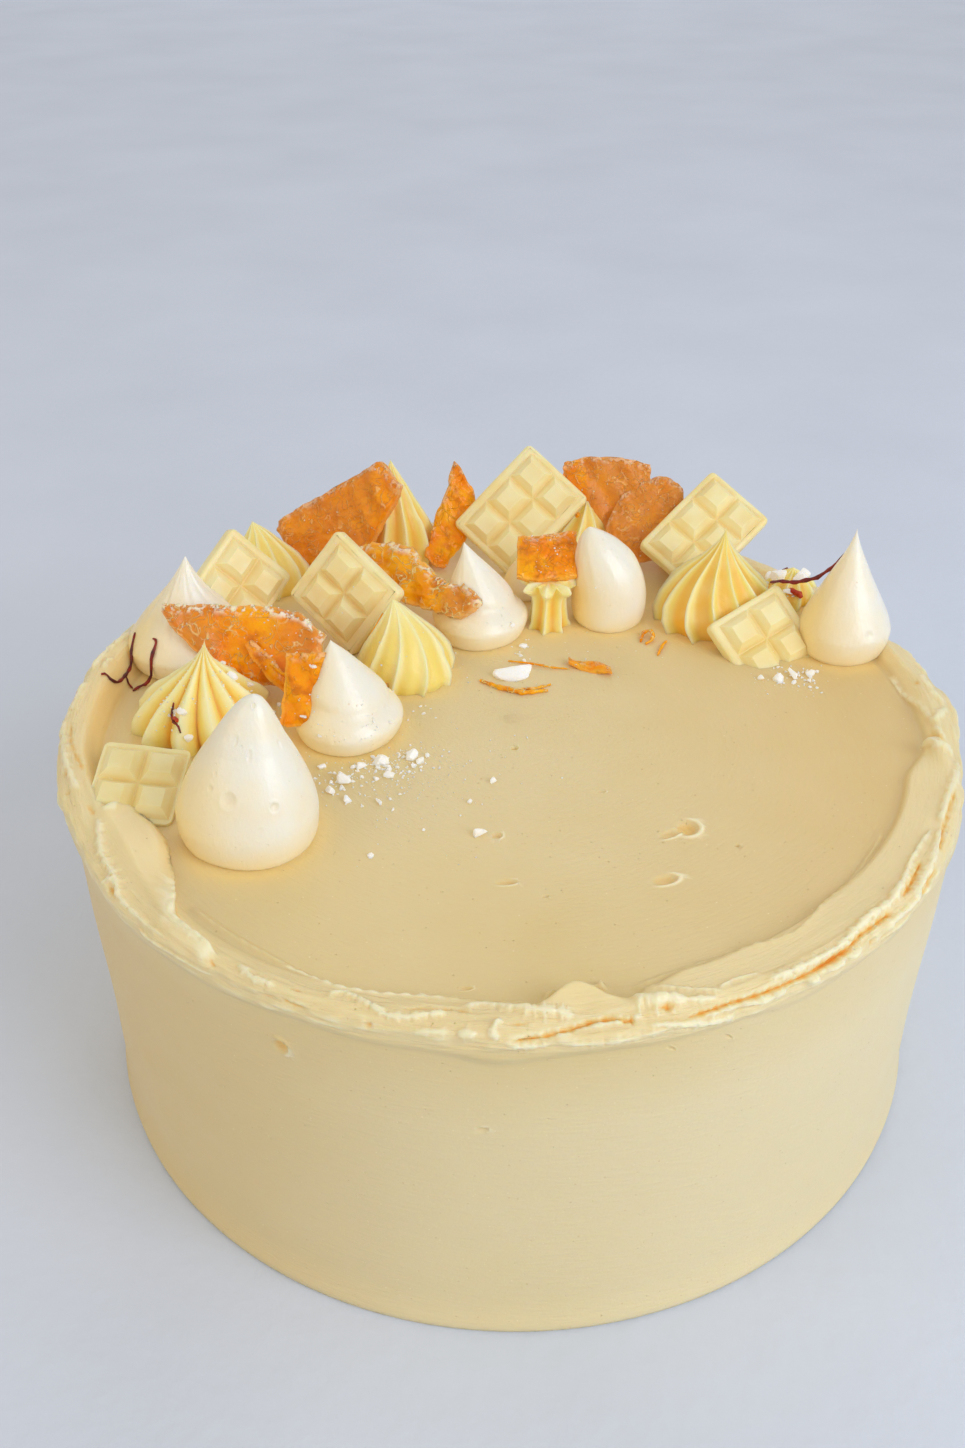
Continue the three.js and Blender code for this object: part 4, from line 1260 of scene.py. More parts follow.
    def lay_out(self, piece: Piece, angle: Array, across: Array) -> None:
        """Writes the sweep coordinates, arc and distance across in metres, with their seam at the back."""
        mesh = piece.data
        corner = np.empty(len(mesh.loops), np.int64)
        mesh.loops.foreach_get("vertex_index", corner)
        starts, counts = np.empty(len(mesh.polygons), np.int64), np.empty(len(mesh.polygons), np.int64)
        mesh.polygons.foreach_get("loop_start", starts)
        mesh.polygons.foreach_get("loop_total", counts)
        turn = (angle - math.pi / 2) % math.tau
        turns = turn[corner]
        widest = np.repeat(np.maximum.reduceat(turns, starts), counts)
        turns = np.where(widest - turns > math.pi, turns + math.tau, turns)
        sheet = np.stack([turns * CAKE_RADIUS * MM, across[corner] * MM], axis=1)
        mesh.uv_layers.new(name="Sweep").data.foreach_set("uv", sheet.astype(np.float32).ravel())

    def build(self, material: Material) -> Piece:
        """Makes and dresses the iced cake."""
        piece = self.disc()
        self.mould(piece)
        take_up(piece)
        bpy.ops.object.mode_set(mode="EDIT")
        weld()
        smooth_over(piece)
        hand_over(piece, material, "icing", "cake")
        return piece


# Piped toppings

@dataclass(frozen=True)
class Pit:
    """A burst bubble on a kiss: its azimuth, its height above the foot, its radius and its depth."""

    azimuth: float
    height: float
    radius: float
    depth: float
    stretch: float = 1.0  # over 1 for one that is taller than wide


@dataclass
class Kiss:
    """A meringue kiss: a belly, then a flank that runs up to a point."""

    node: str
    at: Point2
    radius: float
    height: float
    tip: Point2
    fullness: float
    sharpness: float
    nub: float = 0.0  # how blunt its end is
    fold: float = 2.2  # how late the flank bends towards the tip
    waist: float = 0.0  # how deep the crease over its base is
    pits: tuple[Pit, ...] = ()
    wrinkle: float = 0.0  # how strongly the flank is creased
    belly: float = 0.2
    foot: float = 0.86
    sunk: float = 1.2
    columns: int = 112
    rows: int = 58

    def profile(self) -> list[Point2]:
        """Radius and height from the foot to the point."""
        widest = self.height * self.belly
        line = [(0.0, -self.sunk), (self.radius * self.foot, -self.sunk)]
        for i in range(11):
            up = i / 10
            round_off = math.sqrt(1 - (1 - up) ** 2)
            line.append((self.radius * (self.foot + (1 - self.foot) * round_off), widest * up))
        for i in range(1, self.rows + 1):
            up = math.sin(math.pi / 2 * i / self.rows)
            swell = max(0.0, 1 - up**self.fullness) ** self.sharpness
            blunt = self.nub * min(max((up - 0.6) / 0.35, 0), 1) * math.sqrt(max(0.0, 1 - up**14))
            line.append((self.radius * swell + blunt, widest + (self.height - widest) * up))
        return line

    def mould(self, piece: Piece) -> None:
        """Gives the turned body its lumps, bend and bubbles."""
        turned = corners_of(piece)
        reach, angle = polar(turned)
        z = turned[:, 2]
        up = np.clip(z / self.height, 0, 1)
        lump = 1 + 0.025 * np.sin(angle * 2 + self.radius) + 0.015 * np.sin(angle * 3 + self.height)
        moved = 0.2 * rumple(turned, 7, int(self.radius * 10)) * self.radius / 12
        moved *= ease(reach, 0.3, 3.0)
        if self.waist:
            level = up + 0.05 * np.sin(angle + 1)
            swollen = 0.5 * bell(level - 0.2, 0.1)
            moved += self.waist * (swollen - bell(level - 0.38, 0.07))
        if self.wrinkle:
            fan = np.sin(angle * 11 + 2.2 * np.sin(z * 0.3)) + 0.6 * np.sin(angle * 19 + z * 0.5)
            moved += self.wrinkle * fan * hill(up * 100, 62, 26) * ease(reach, 0.5, 2.5) * 0.16
        for pit in self.pits:
            turn = np.radians((np.degrees(angle) - pit.azimuth + 180) % 360 - 180)
            away = np.hypot(turn * reach * pit.stretch, z - pit.height) / pit.radius
            moved += bell(away - 1.0, 0.24) * pit.depth * 0.45
            moved -= (1 - ease(away, 0.45, 1.0)) * pit.depth
        reach = reach * lump + np.where(reach > 0.01, moved, 0)
        bend = up**self.fold
        x = reach * np.cos(angle) + self.tip[0] * bend + self.at[0]
        y = reach * np.sin(angle) + self.tip[1] * bend + self.at[1]
        move_corners(piece, np.stack([x, y, z + TOP], axis=1))
        # Painted warm shade: cream over the foot and the lower left side, away from the lamps.
        shaded = hill(np.degrees(angle), 195, 62) * (1 - ease(up, 0.3, 1.0))
        note(piece, "low", np.maximum(0.5 - 0.5 * ease(up, 0.02, 0.3), shaded))

    def build(self, material: Material) -> Piece:
        """Makes and dresses the kiss."""
        piece = spun("meringue_" + self.node, self.profile(), self.columns)
        self.mould(piece)
        smooth_over(piece)
        hand_over(piece, material, "meringue", self.node)
        return piece


FRONT_KISS_PITS = (
    Pit(260.2, 17.1, 1.9, 0.45), Pit(304.2, 15.1, 1.1, 0.5), Pit(281.1, 25.2, 1.5, 0.3, 2.2),
    Pit(334.9, 25.2, 1.6, 0.25, 3.0), Pit(253.2, 27.6, 1.4, 0.25, 3.0), Pit(236.4, 18.4, 0.7, 0.3),
    Pit(236.2, 21.2, 0.5, 0.25), Pit(346.4, 18.2, 0.6, 0.25), Pit(290, 11.0, 0.4, 0.25),
    Pit(275, 8.6, 0.35, 0.2), Pit(284, 34.0, 0.5, 0.5),
)

KISSES = (
    Kiss("kiss_front_left", (-55.8, -44.1), 15, 35.3, (4, 0), 1.5, 1.0, nub=1.6, pits=FRONT_KISS_PITS,
         columns=184, rows=96),
    Kiss("kiss_left_middle", (-38.4, -5.2), 12.5, 24.2, (-3.1, 1), 1.25, 1.05, waist=0.7,
         pits=(Pit(342.4, 8.1, 1.0, 0.35), Pit(300, 14, 0.5, 0.2))),
    Kiss("kiss_left_back", (-82.3, 28.6), 15.8, 27.8, (1.4, 1), 1.3, 1.45, nub=0.5, wrinkle=1.0),
    Kiss("kiss_centre", (-8.4, 41.4), 12.2, 25.4, (-4, 1), 1.15, 1.1, waist=0.8, wrinkle=0.3,
         pits=(Pit(290, 5.5, 0.5, 0.25), Pit(262, 9.0, 0.6, 0.2))),
    Kiss("kiss_centre_right", (25.4, 49), 10, 26.4, (-5.5, 0), 2.6, 0.8, fold=3.5, wrinkle=0.5,
         pits=(Pit(285, 9.5, 0.4, 0.2),)),
    Kiss("kiss_right", (85, 34.3), 11.7, 33.7, (-0.5, 0), 1.25, 1.4,
         pits=(Pit(291.4, 8.7, 1.5, 0.35), Pit(262, 16, 0.5, 0.2))),
    Kiss("kiss_behind_centre", (5, 63), 7.5, 15, (1, 0), 1.4, 1.1, wrinkle=0.3),
)


@dataclass
class Swirl:
    """A swirl from a star nozzle: thin ridges with flutes between, wound round its axis."""

    node: str
    at: Point2
    radius: float
    height: float
    tip: Point2 = (0.0, 0.0)
    twist: float = 0.0
    start: float = 0.0
    crushed: bool = False  # has lost its point and ends in a ruffled top
    blade: float = 2.2  # how thin the ridges are; under 1 they are broad and the flutes narrow
    petal: float = 0.03  # how far the flutes' floors bulge
    lean: float = 0.0  # how far each ridge leans over its neighbour
    curl: float = 0.0  # how far the ridges bow round the axis halfway up
    slimness: float = 1.0  # hollows the flank towards the tip
    shoulder: float = 1.0  # fills it out lower down
    floor: float = 0.8  # how deep the flutes go, as a share of the radius
    depth: float = 1.0  # how strong the painted shade in its flutes is
    ridges: int = 9
    sunk: float = 1.2
    rows: int = 56

    def profile(self) -> list[Point2]:
        """Radius and height from the foot to the point."""
        low = 0.12
        line = [(0.0, -self.sunk), (self.radius * 0.88, -self.sunk), (self.radius * 0.95, 0.2)]
        for i in range(self.rows + 1):
            up = i / self.rows
            if self.crushed:
                swell = 0.86 + 0.3 * math.exp(-(((up - 0.9) / 0.16) ** 2)) - 0.1 * math.sin(up * math.pi)
            elif i < self.rows:
                level = low + (1 - low) * up**0.85
                swell = math.cos(level**self.shoulder * math.pi / 2) ** self.slimness
            else:
                swell = 0.0
            line.append((self.radius * swell, self.height * (low + (1 - low) * up**0.85)))
        if self.crushed:
            line += [(self.radius * 0.6, self.height * 1.02), (self.radius * 0.3, self.height)]
            line += [(0.0, self.height)]
        return line

    def mould(self, piece: Piece) -> None:
        """Cuts the flutes, winds the ridges and roughens their edges."""
        turned = corners_of(piece)
        reach, angle = polar(turned)
        z = turned[:, 2]
        up = np.clip(z / self.height, 0, 1)
        phase = (angle / math.tau * self.ridges) % 1
        side = (phase + self.lean * np.sin(math.tau * phase) / math.tau) % 1
        crest = np.abs(2 * side - 1) ** self.blade
        place = np.stack([np.cos(angle) * 9, np.sin(angle) * 9, z], axis=1)
        ragged = 1 + 0.035 * rumple(place, (1.2, 1.2, 2.2), int(self.radius * 7)) * crest
        floor = self.floor + self.petal * np.sin(math.pi * side)
        star = floor + (1.07 - floor) * crest
        near_tip = ease(up, 0.93, 1.0)
        star = star * (1 - near_tip) + 0.93 * near_tip
        if self.crushed:
            ruffle = 1 + 0.12 * np.sin(angle * self.ridges + 1.3) * ease(up, 0.7, 0.95)
            ragged *= ruffle
            z = z + 0.7 * np.sin(angle * 13) * ease(up, 0.75, 1.0) * ease(reach, 2, 6)
        reach = reach * star * ragged
        wound = angle + np.radians(self.start + self.twist * up + self.curl * np.sin(math.pi * up))
        bend = up**1.6
        swell = rumple(turned, 6, int(self.height * 3)) * 0.4 * ease(reach, 0.5, 4)
        x = (reach + swell) * np.cos(wound) + self.tip[0] * bend + self.at[0]
        y = (reach + swell) * np.sin(wound) + self.tip[1] * bend + self.at[1]
        move_corners(piece, np.stack([x, y, z + TOP], axis=1))
        # Painted shade: deepest in the flutes and towards the foot.
        shade = (1 - crest) ** 1.4 * (1 - 0.5 * ease(up, 0.6, 1.0)) * (0.75 + 0.45 * (1 - up))
        note(piece, "flute_shade", shade * self.depth)

    def build(self, material: Material) -> Piece:
        """Makes and dresses the swirl."""
        piece = spun("buttercream_" + self.node, self.profile(), self.ridges * 20)
        self.mould(piece)
        smooth_over(piece)
        hand_over(piece, material, "buttercream", self.node)
        return piece


SWIRLS = (
    Swirl("swirl_left", (-73.8, -2.6), 16.5, 23.7, (3.2, 0), -14, blade=0.8, petal=0.0, slimness=2,
          floor=0.72, ridges=11, depth=1.1),
    Swirl("swirl_middle", (-26.2, 19.9), 12.1, 20.3, (-3, 2), 34, 12, blade=3.8, petal=0.1, floor=0.84,
          depth=0.45),
    Swirl("swirl_left_back", (-66.6, 66.5), 10.4, 18.8, (-4.5, 1), 30, 5, blade=3.0, petal=0.07, floor=0.82,
          depth=0.6),
    Swirl("swirl_back", (-32.8, 81.7), 10.6, 30.6, (-1, 0), 12, 8, blade=1.7, petal=0.02, slimness=1.1),
    Swirl("swirl_centre", (9.5, 44.5), 6, 13, twist=6, crushed=True, blade=1.8, petal=0.0, floor=0.72,
          ridges=7),
    Swirl("swirl_right", (53.7, 48.5), 15.9, 27.4, (1.3, 0), -16, 4, blade=2.0, petal=0.07, lean=0.6,
          curl=-11, slimness=2, shoulder=1.15, floor=0.79, ridges=12),
    Swirl("swirl_far_right", (75, 60), 8.5, 9, (1, 0), 18),
    Swirl("swirl_back_centre", (21, 86), 11, 17, twist=14, start=4),
    Swirl("swirl_back_right", (53, 80), 11, 16, (1, 0), 14, 15),
)


# White chocolate

@dataclass
class Block:
    """A block broken from a moulded bar: a slab with a grid of flat-topped pyramids."""

    node: str
    width: float
    height: float
    columns: int
    rows: int
    lean: Lean
    thickness: float = 3.4
    pitch: float = 9.5
    pip_foot: float = 8.7
    pip_crest: float = 5.2
    pip_height: float = 1.9
    sink: float = 0.08  # the grooves lie this much below the border
    corner: float = 1.5
    rounding: float = 1.1  # of the front's outline
    softness: float = 0.24

    def slab(self) -> Piece:
        """The bare slab with its top face at height 0, and the field of the pips sunk into it."""
        clear_selection()
        bpy.ops.mesh.primitive_cube_add(size=MM)
        piece = bpy.context.object
        piece.name = "chocolate_" + self.node
        open_up()
        bpy.ops.transform.resize(value=(self.width, self.height, self.thickness))
        bpy.ops.transform.translate(value=(0, 0, -self.thickness / 2 * MM))
        select_faces(piece, lambda _, normals: normals[:, 2] > 0.9)
        gap = (self.pitch - self.pip_foot) / 2
        border_x = (self.width - self.columns * self.pitch) / 2 + gap - self.sink
        border_y = (self.height - self.rows * self.pitch) / 2 + gap - self.sink
        border = min(border_x, border_y)
        bpy.ops.mesh.inset(thickness=border * MM)
        inner = (self.width - 2 * border, self.height - 2 * border)
        wanted = (self.width - 2 * border_x, self.height - 2 * border_y)
        bpy.ops.transform.resize(value=(wanted[0] / inner[0], wanted[1] / inner[1], 1))
        bpy.ops.mesh.inset(thickness=self.sink * MM, depth=-self.sink * MM)
        put_down()
        return piece

    def field(self, centres: Array, normals: Array) -> Array:
        """Which faces belong to the sunken field."""
        return (normals[:, 2] > 0.9) & (np.abs(centres[:, 2] + self.sink) < 0.01)

    def pips(self, piece: Piece) -> None:
        """Cuts the field into squares and raises a flat-topped pyramid on each."""
        lines = [(i + 1 - self.columns / 2, (1, 0, 0)) for i in range(self.columns - 1)]
        lines += [(i + 1 - self.rows / 2, (0, 1, 0)) for i in range(self.rows - 1)]
        for place, normal in lines:
            select_faces(piece, self.field)
            centre = tuple(place * self.pitch * MM * part for part in normal)
            bpy.ops.mesh.bisect(plane_co=centre, plane_no=normal)
        select_faces(piece, self.field)
        groove = (self.pitch - self.pip_foot) / 2
        slope = (self.pip_foot - self.pip_crest) / 2
        bpy.ops.mesh.inset(thickness=groove * 0.5 * MM, use_individual=True)
        rise = (self.pip_height + self.sink) * MM
        bpy.ops.mesh.inset(thickness=(slope + groove * 0.4) * MM, depth=rise, use_individual=True)
        put_down()

    def soften(self, piece: Piece) -> None:
        """Rounds the slab's corners and every crease."""
        half = np.array([self.width, self.height]) / 2

        def upright(starts: Array, ends: Array) -> Array:
            """Which edges are the slab's own corners."""
            at_corner = np.all(np.abs(starts[:, :2]) > half - 0.01, axis=1)
            return (np.abs(starts[:, 2] - ends[:, 2]) > 1) & at_corner

        select_edges(piece, upright)
        bpy.ops.mesh.bevel(offset=self.corner * MM, segments=4, affect="EDGES")

        def on_outline(points: Array) -> Array:
            """Which corners lie on the outline of the front."""
            out = np.abs(points[:, :2]) - (half - self.corner)
            reach = np.where((out > 0).all(axis=1), np.hypot(out[:, 0], out[:, 1]), out.max(axis=1))
            return (np.abs(points[:, 2]) < 0.01) & (reach > self.corner - 0.05)

        border = half - np.array([self.columns, self.rows]) * self.pitch / 2
        select_edges(piece, lambda a, b: on_outline(a) & on_outline(b))
        bpy.ops.mesh.bevel(offset=min(self.rounding, border.min() * 0.8) * MM, segments=3, affect="EDGES")
        put_down()
        creases = {"limit_method": "ANGLE", "angle_limit": math.radians(20)}
        finish_with(piece, "BEVEL", width=self.softness * MM, segments=3, **creases)
        finish_with(piece, "SUBSURF", levels=2, render_levels=2, subdivision_type="SIMPLE")
        points = corners_of(piece)
        sway = np.stack([rumple(points, 5, axis + 31) * 0.09 for axis in range(3)], axis=1)
        dents = np.stack([rumple(points, 2.2, axis + 41) * 0.03 for axis in range(3)], axis=1)
        move_corners(piece, points + sway + dents)
        reach = np.array([self.columns, self.rows]) * self.pitch / 2 - np.abs(points[:, :2])
        in_field = ease(reach.min(axis=1), -0.3, 1.4)
        # Painted shade: marks the low parts between the pips for a warmer colour.
        note(piece, "groove", in_field * (1 - ease(points[:, 2], -0.1, 1.2)) * (points[:, 2] > -1))

    def build(self, material: Material) -> Piece:
        """Makes and dresses the block."""
        piece = self.slab()
        self.pips(piece)
        self.soften(piece)
        smooth_over(piece)
        finish_with(piece, "WEIGHTED_NORMAL", weight=50)
        self.lean.settle(piece)
        hand_over(piece, material, "white_chocolate", self.node)
        return piece


BLOCKS = (
    Block("block_front_left", 19.4, 20.6, 2, 2, Lean((-82.3, -32.5, 4.5), -74.5, 72.8, -18.9)),
    Block("block_left_back", 22, 21, 2, 2, Lean((-70.6, 41.5, 13), -53, 22, 37)),
    Block("block_middle", 21.9, 24.2, 2, 2, Lean((-43.2, 35.2, 14.3), -113.7, 24.4, 59.7)),
    Block("block_back", 31.1, 23.1, 3, 2, Lean((2.3, 80.7, 15.7), -91.8, 36.5, 48)),
    Block("block_right", 22.5, 21.2, 2, 2, Lean((64.8, 30.3, 4.3), -77.1, 45.5, 23.6)),
    Block("block_back_right", 30.8, 21.4, 3, 2, Lean((53.2, 72.9, 13.4), -86.1, 49.4, 44)),
)


# Candied mango

class Dried(Enum):
    """How a slice of mango has dried."""

    GLOSSY = "glossy"
    FIBROUS = "fibrous"
    KNOBBLY = "knobbly"
    BROWN = "brown"


@dataclass
class Slice:
    """A slice of candied mango: stations along its length, each along, lower edge and upper edge."""

    node: str
    thickness: float
    curl: Point2
    stations: tuple[Point3, ...]
    lean: Lean
    dried: Dried = Dried.GLOSSY
    dry: Point3 = (0.0, 0.0, 0.0)  # how dry its start, middle and end are
    ragged: float = 0.45
    relief: float = 0.25
    cuts: int = 38

    def blank(self) -> Piece:
        """A cube cut into many small squares."""
        clear_selection()
        bpy.ops.mesh.primitive_cube_add(size=MM)
        piece = bpy.context.object
        piece.name = "candied_" + self.node
        open_up()
        bpy.ops.mesh.subdivide(number_cuts=self.cuts)
        put_down()
        return piece

    def mould(self, piece: Piece) -> None:
        """Stretches the blank over the stations, thins its edges, curls it and roughens it."""
        cube = corners_of(piece)
        stations = np.array(self.stations)
        number = (cube[:, 0] + 0.5) * (len(stations) - 1)
        places = np.arange(len(stations))
        along = np.interp(number, places, stations[:, 0])
        low = np.interp(number, places, stations[:, 1])
        high = np.interp(number, places, stations[:, 2])
        part = cube[:, 1] + 0.5
        up = low + (high - low) * part
        length = stations[-1, 0] - stations[0, 0]
        from_side = np.minimum(part, 1 - part) * (high - low)
        from_end = np.minimum(along - stations[0, 0], stations[-1, 0] - along)
        inside = np.minimum(from_side, from_end)
        rim = 1 - ease(inside, 0.0, 2.2)
        edge = 0.55 + 0.45 * ease(inside, 0.0, 2.0)
        seed = int(abs(length) * 17)
        flat = np.stack([along, up, np.zeros_like(along)], axis=1)
        outline = rumple(flat, 2.6, seed) + 0.5 * rumple(flat, 1.1, seed + 1)
        drift = rumple(flat, 2.6, seed + 2) + 0.5 * rumple(flat, 1.1, seed + 3)
        along = along + self.ragged * outline * rim
        up = up + self.ragged * drift * rim
        bow = self.curl[0] * along**2 + self.curl[1] * up**2 + 0.35 * np.sin(along * 0.9 + up * 0.5)
        side = cube[:, 2]
        deep = np.stack([along, up, side * 6], axis=1)
        ridged = 1 - 2 * np.abs(rumple(deep, 2.4, seed + 4)) + 0.5 * rumple(deep, 0.9, seed + 5)
        z = side * self.thickness * edge + bow + np.sign(side) * self.relief * ridged * (1 - 0.5 * rim)
        z += 0.5 * rumple(flat, 7, seed + 6)
        move_corners(piece, np.stack([along, up, z], axis=1))
        note(piece, "rim", rim)
        note(piece, "frost", ease((high - low) * (1 - part), 3.0, 0.6))
        reached = cube[:, 0] + 0.5 + 0.05 * drift
        note(piece, "dry", np.interp(reached, (0.25, 0.4, 0.6, 0.75), np.repeat(self.dry, (1, 2, 1))))

    def build(self, finishes: dict[Dried, Material]) -> Piece:
        """Makes and dresses the slice."""
        piece = self.blank()
        self.mould(piece)
        self.lean.settle(piece)
        smooth_over(piece)
        hand_over(piece, finishes[self.dried], "mango", self.node)
        return piece


SLICES = (
    Slice("mango_left", 3.6, (0.004, 0),
          ((-24.5, 6.5, 8.5), (-17, -1, 9), (-8, -7, 9.8), (2, -9, 10.4), (10, -8, 9.8), (15.8, 1, 5)),
          Lean((-62, 15, 10), -94, 32, -4), Dried.FIBROUS, (1.0, 0.0, 0.8), relief=0.3),
    Slice("mango_on_kiss", 3.2, (0, 0.008),
          ((-3.4, -5.2, 11.7), (-1.5, -5.6, 12), (3, -4.4, 12.6), (6, -3, 13)),
          Lean((-49.5, -9, 9.6), -104, 30), Dried.GLOSSY, ragged=0.3, relief=0.2),
    Slice("mango_back_left", 3.8, (0.003, 0),
          ((-21, -4, -1), (-14, -12, 4), (-3.4, -15, 11.4), (4.5, -13, 17), (8, -4, 19.6), (11.5, 4, 17.2),
           (15, 11, 14)),
          Lean((-46, 73, 14), -112, 20), Dried.BROWN, (0.5, 0.5, 0.0), relief=0.35),
    Slice("mango_spike", 3, (0, 0.004),
          ((-13.2, -10, -7.6), (-10.6, -13, -3), (-8.4, -12.8, 3.4), (-4.7, -9.5, 8.3), (-1.6, -6.8, 16.4),
           (0.4, -3.5, 13), (2.8, 2, 6.5)),
          Lean((-13, 84, 11.5), -75, 34), Dried.GLOSSY),
    Slice("mango_middle", 3.2, (0.002, 0),
          ((-26, 0.5, 4.5), (-20, -3.5, 7.4), (-11.4, -5.6, 7.8), (-5, -6.2, 3.8), (1, -6.7, 1.6),
           (7, -6.4, 2.6), (12, -3.6, -0.4)),
          Lean((-18, 39, 14), -118, 42), Dried.KNOBBLY, (0.0, 0.0, 1.0), ragged=0.8, relief=0.5),
    Slice("mango_on_swirl", 3.2, (0.006, 0),
          ((-8.8, -6, 5), (-3, -6.8, 5.8), (2.4, -6.2, 6.4), (6.8, -5.8, 6.8)),
          Lean((10, 49, 17.5), -90, 50), Dried.GLOSSY, ragged=0.35, relief=0.3),
    Slice("mango_fan", 2.8, (0.002, 0.003),
          ((-13.1, 3, 8), (-9, -9, 9.2), (-4, -15, 10.3), (4, -16, 9.8), (9, -12, 8.6), (11.8, 2, 8)),
          Lean((27, 88, 18), -90, 22), Dried.BROWN, (0.0, 0.9, 1.0), relief=0.4),
    Slice("mango_back_right", 2.8, (0, 0.002),
          ((-19.6, -7, -3), (-15.9, -11, 3.5), (-10.5, -15, 9.1), (-2.5, -13, 9.9), (2.6, -6, 6.6)),
          Lean((46, 84, 14), -88, 40), Dried.BROWN, (1.0, 0.9, 1.0), relief=0.45),
    Slice("mango_sliver", 2.2, (0.01, 0),
          ((-7.6, -1, 1), (-3, -2.2, 1.8), (3, -2.2, 1.8), (8.4, -0.8, 1.2)),
          Lean((-59.1, 10.2, 8), -80, 30, -55), Dried.GLOSSY, ragged=0.2, relief=0.12, cuts=22),
    Slice("mango_flake", 1.2, (0, 0),
          ((-5.5, -0.4, 2.3), (-1.2, -2.2, 1.5), (3, -3.6, 0.6), (5.2, -4.6, -1)),
          Lean((19.7, 23, 0.95), -90, 88), Dried.GLOSSY, ragged=0.3, relief=0.15, cuts=22),
)

MANGO_FINISHES = {
    Dried.GLOSSY: MangoFinish("candied_mango", "ffae00", "f88e00", "ffd070", 0.25, 0.2),
    Dried.FIBROUS: MangoFinish("fibrous_mango", "ffac00", "f88800", "ffd894", 0.9, 0.22, frosting=0.95),
    Dried.KNOBBLY: MangoFinish("knobbly_mango", "ffb816", "f09608", "ffeaa4", 0.9, 0.24, frosting=0.7),
    Dried.BROWN: MangoFinish("browned_mango", "fda404", "ea880c", "ffc47c", 0.75, 0.34, frosting=0.35),
}


# Small things that lie on the rest

@dataclass
class Ground:
    """The finished surfaces, to set small things on."""

    pieces: Sequence[Piece]
    trees: list[BVHTree] = field(init=False)

    def __post_init__(self) -> None:
        """Prepares the surfaces for looking up."""
        self.trees = []
        for piece in self.pieces:
            corners = [vertex.co.copy() for vertex in piece.data.vertices]
            faces = [tuple(face.vertices) for face in piece.data.polygons]
            self.trees.append(BVHTree.FromPolygons(corners, faces))

    def under(self, x: float, y: float, above: float = 60.0) -> tuple[float, Vector]:
        """The highest surface below a place.

        Args:
            x: Place in millimetres.
            y: Place in millimetres.
            above: How far above the top the search starts.

        Returns:
            The surface's height above the cake's top and its normal.
        """
        start = Vector((x, y, TOP + above)) * MM
        best, facing = -TOP, Vector((0, 0, 1))
        for tree in self.trees:
            hit, normal, _, _ = tree.ray_cast(start, Vector((0, 0, -1)))
            if hit is not None and hit.z / MM - TOP > best:
                best, facing = hit.z / MM - TOP, normal
        return best, facing


def rough_ball(
    detail: int, seed: int, jag: float, cuts: int = 7, deepest: float = 0.55
) -> tuple[Array, Array]:
    """A broken lump of radius 1.

    Args:
        detail: Subdivisions of the ball that it starts from.
        seed: Picks its shape.
        jag: How broken it is.
        cuts: How many flat faces are cut on it.
        deepest: How near to its middle the nearest of them lies.

    Returns:
        Its corners and its triangles.
    """
    clear_selection()
    bpy.ops.mesh.primitive_ico_sphere_add(subdivisions=detail, radius=MM)
    ball = bpy.context.object
    points = corners_of(ball)
    chance = np.random.default_rng(seed)
    for _ in range(cuts):
        normal = chance.normal(size=3)
        normal /= np.linalg.norm(normal)
        depth = chance.uniform(deepest, 0.9)
        over = np.maximum(points @ normal - depth, 0)
        points -= over[:, None] * normal
    points *= 1 + jag * rumple(points, 0.6, seed)[:, None]
    faces = np.empty(len(ball.data.polygons) * 3, np.int64)
    ball.data.polygons.foreach_get("vertices", faces)
    bpy.data.objects.remove(ball)
    return points, faces.reshape(-1, 3)


def tossed(points: Array, scale: Point3, at: Point3, chance: np.random.Generator) -> Array:
    """Scales a small body, turns it at random and puts it in its place."""
    around = Matrix.Rotation(chance.uniform(0, math.tau), 3, "Z")
    turn = around @ Matrix.Rotation(chance.uniform(-0.5, 0.5), 3, "X")
    return points * np.array(scale) @ np.array(turn).T + np.array(at)


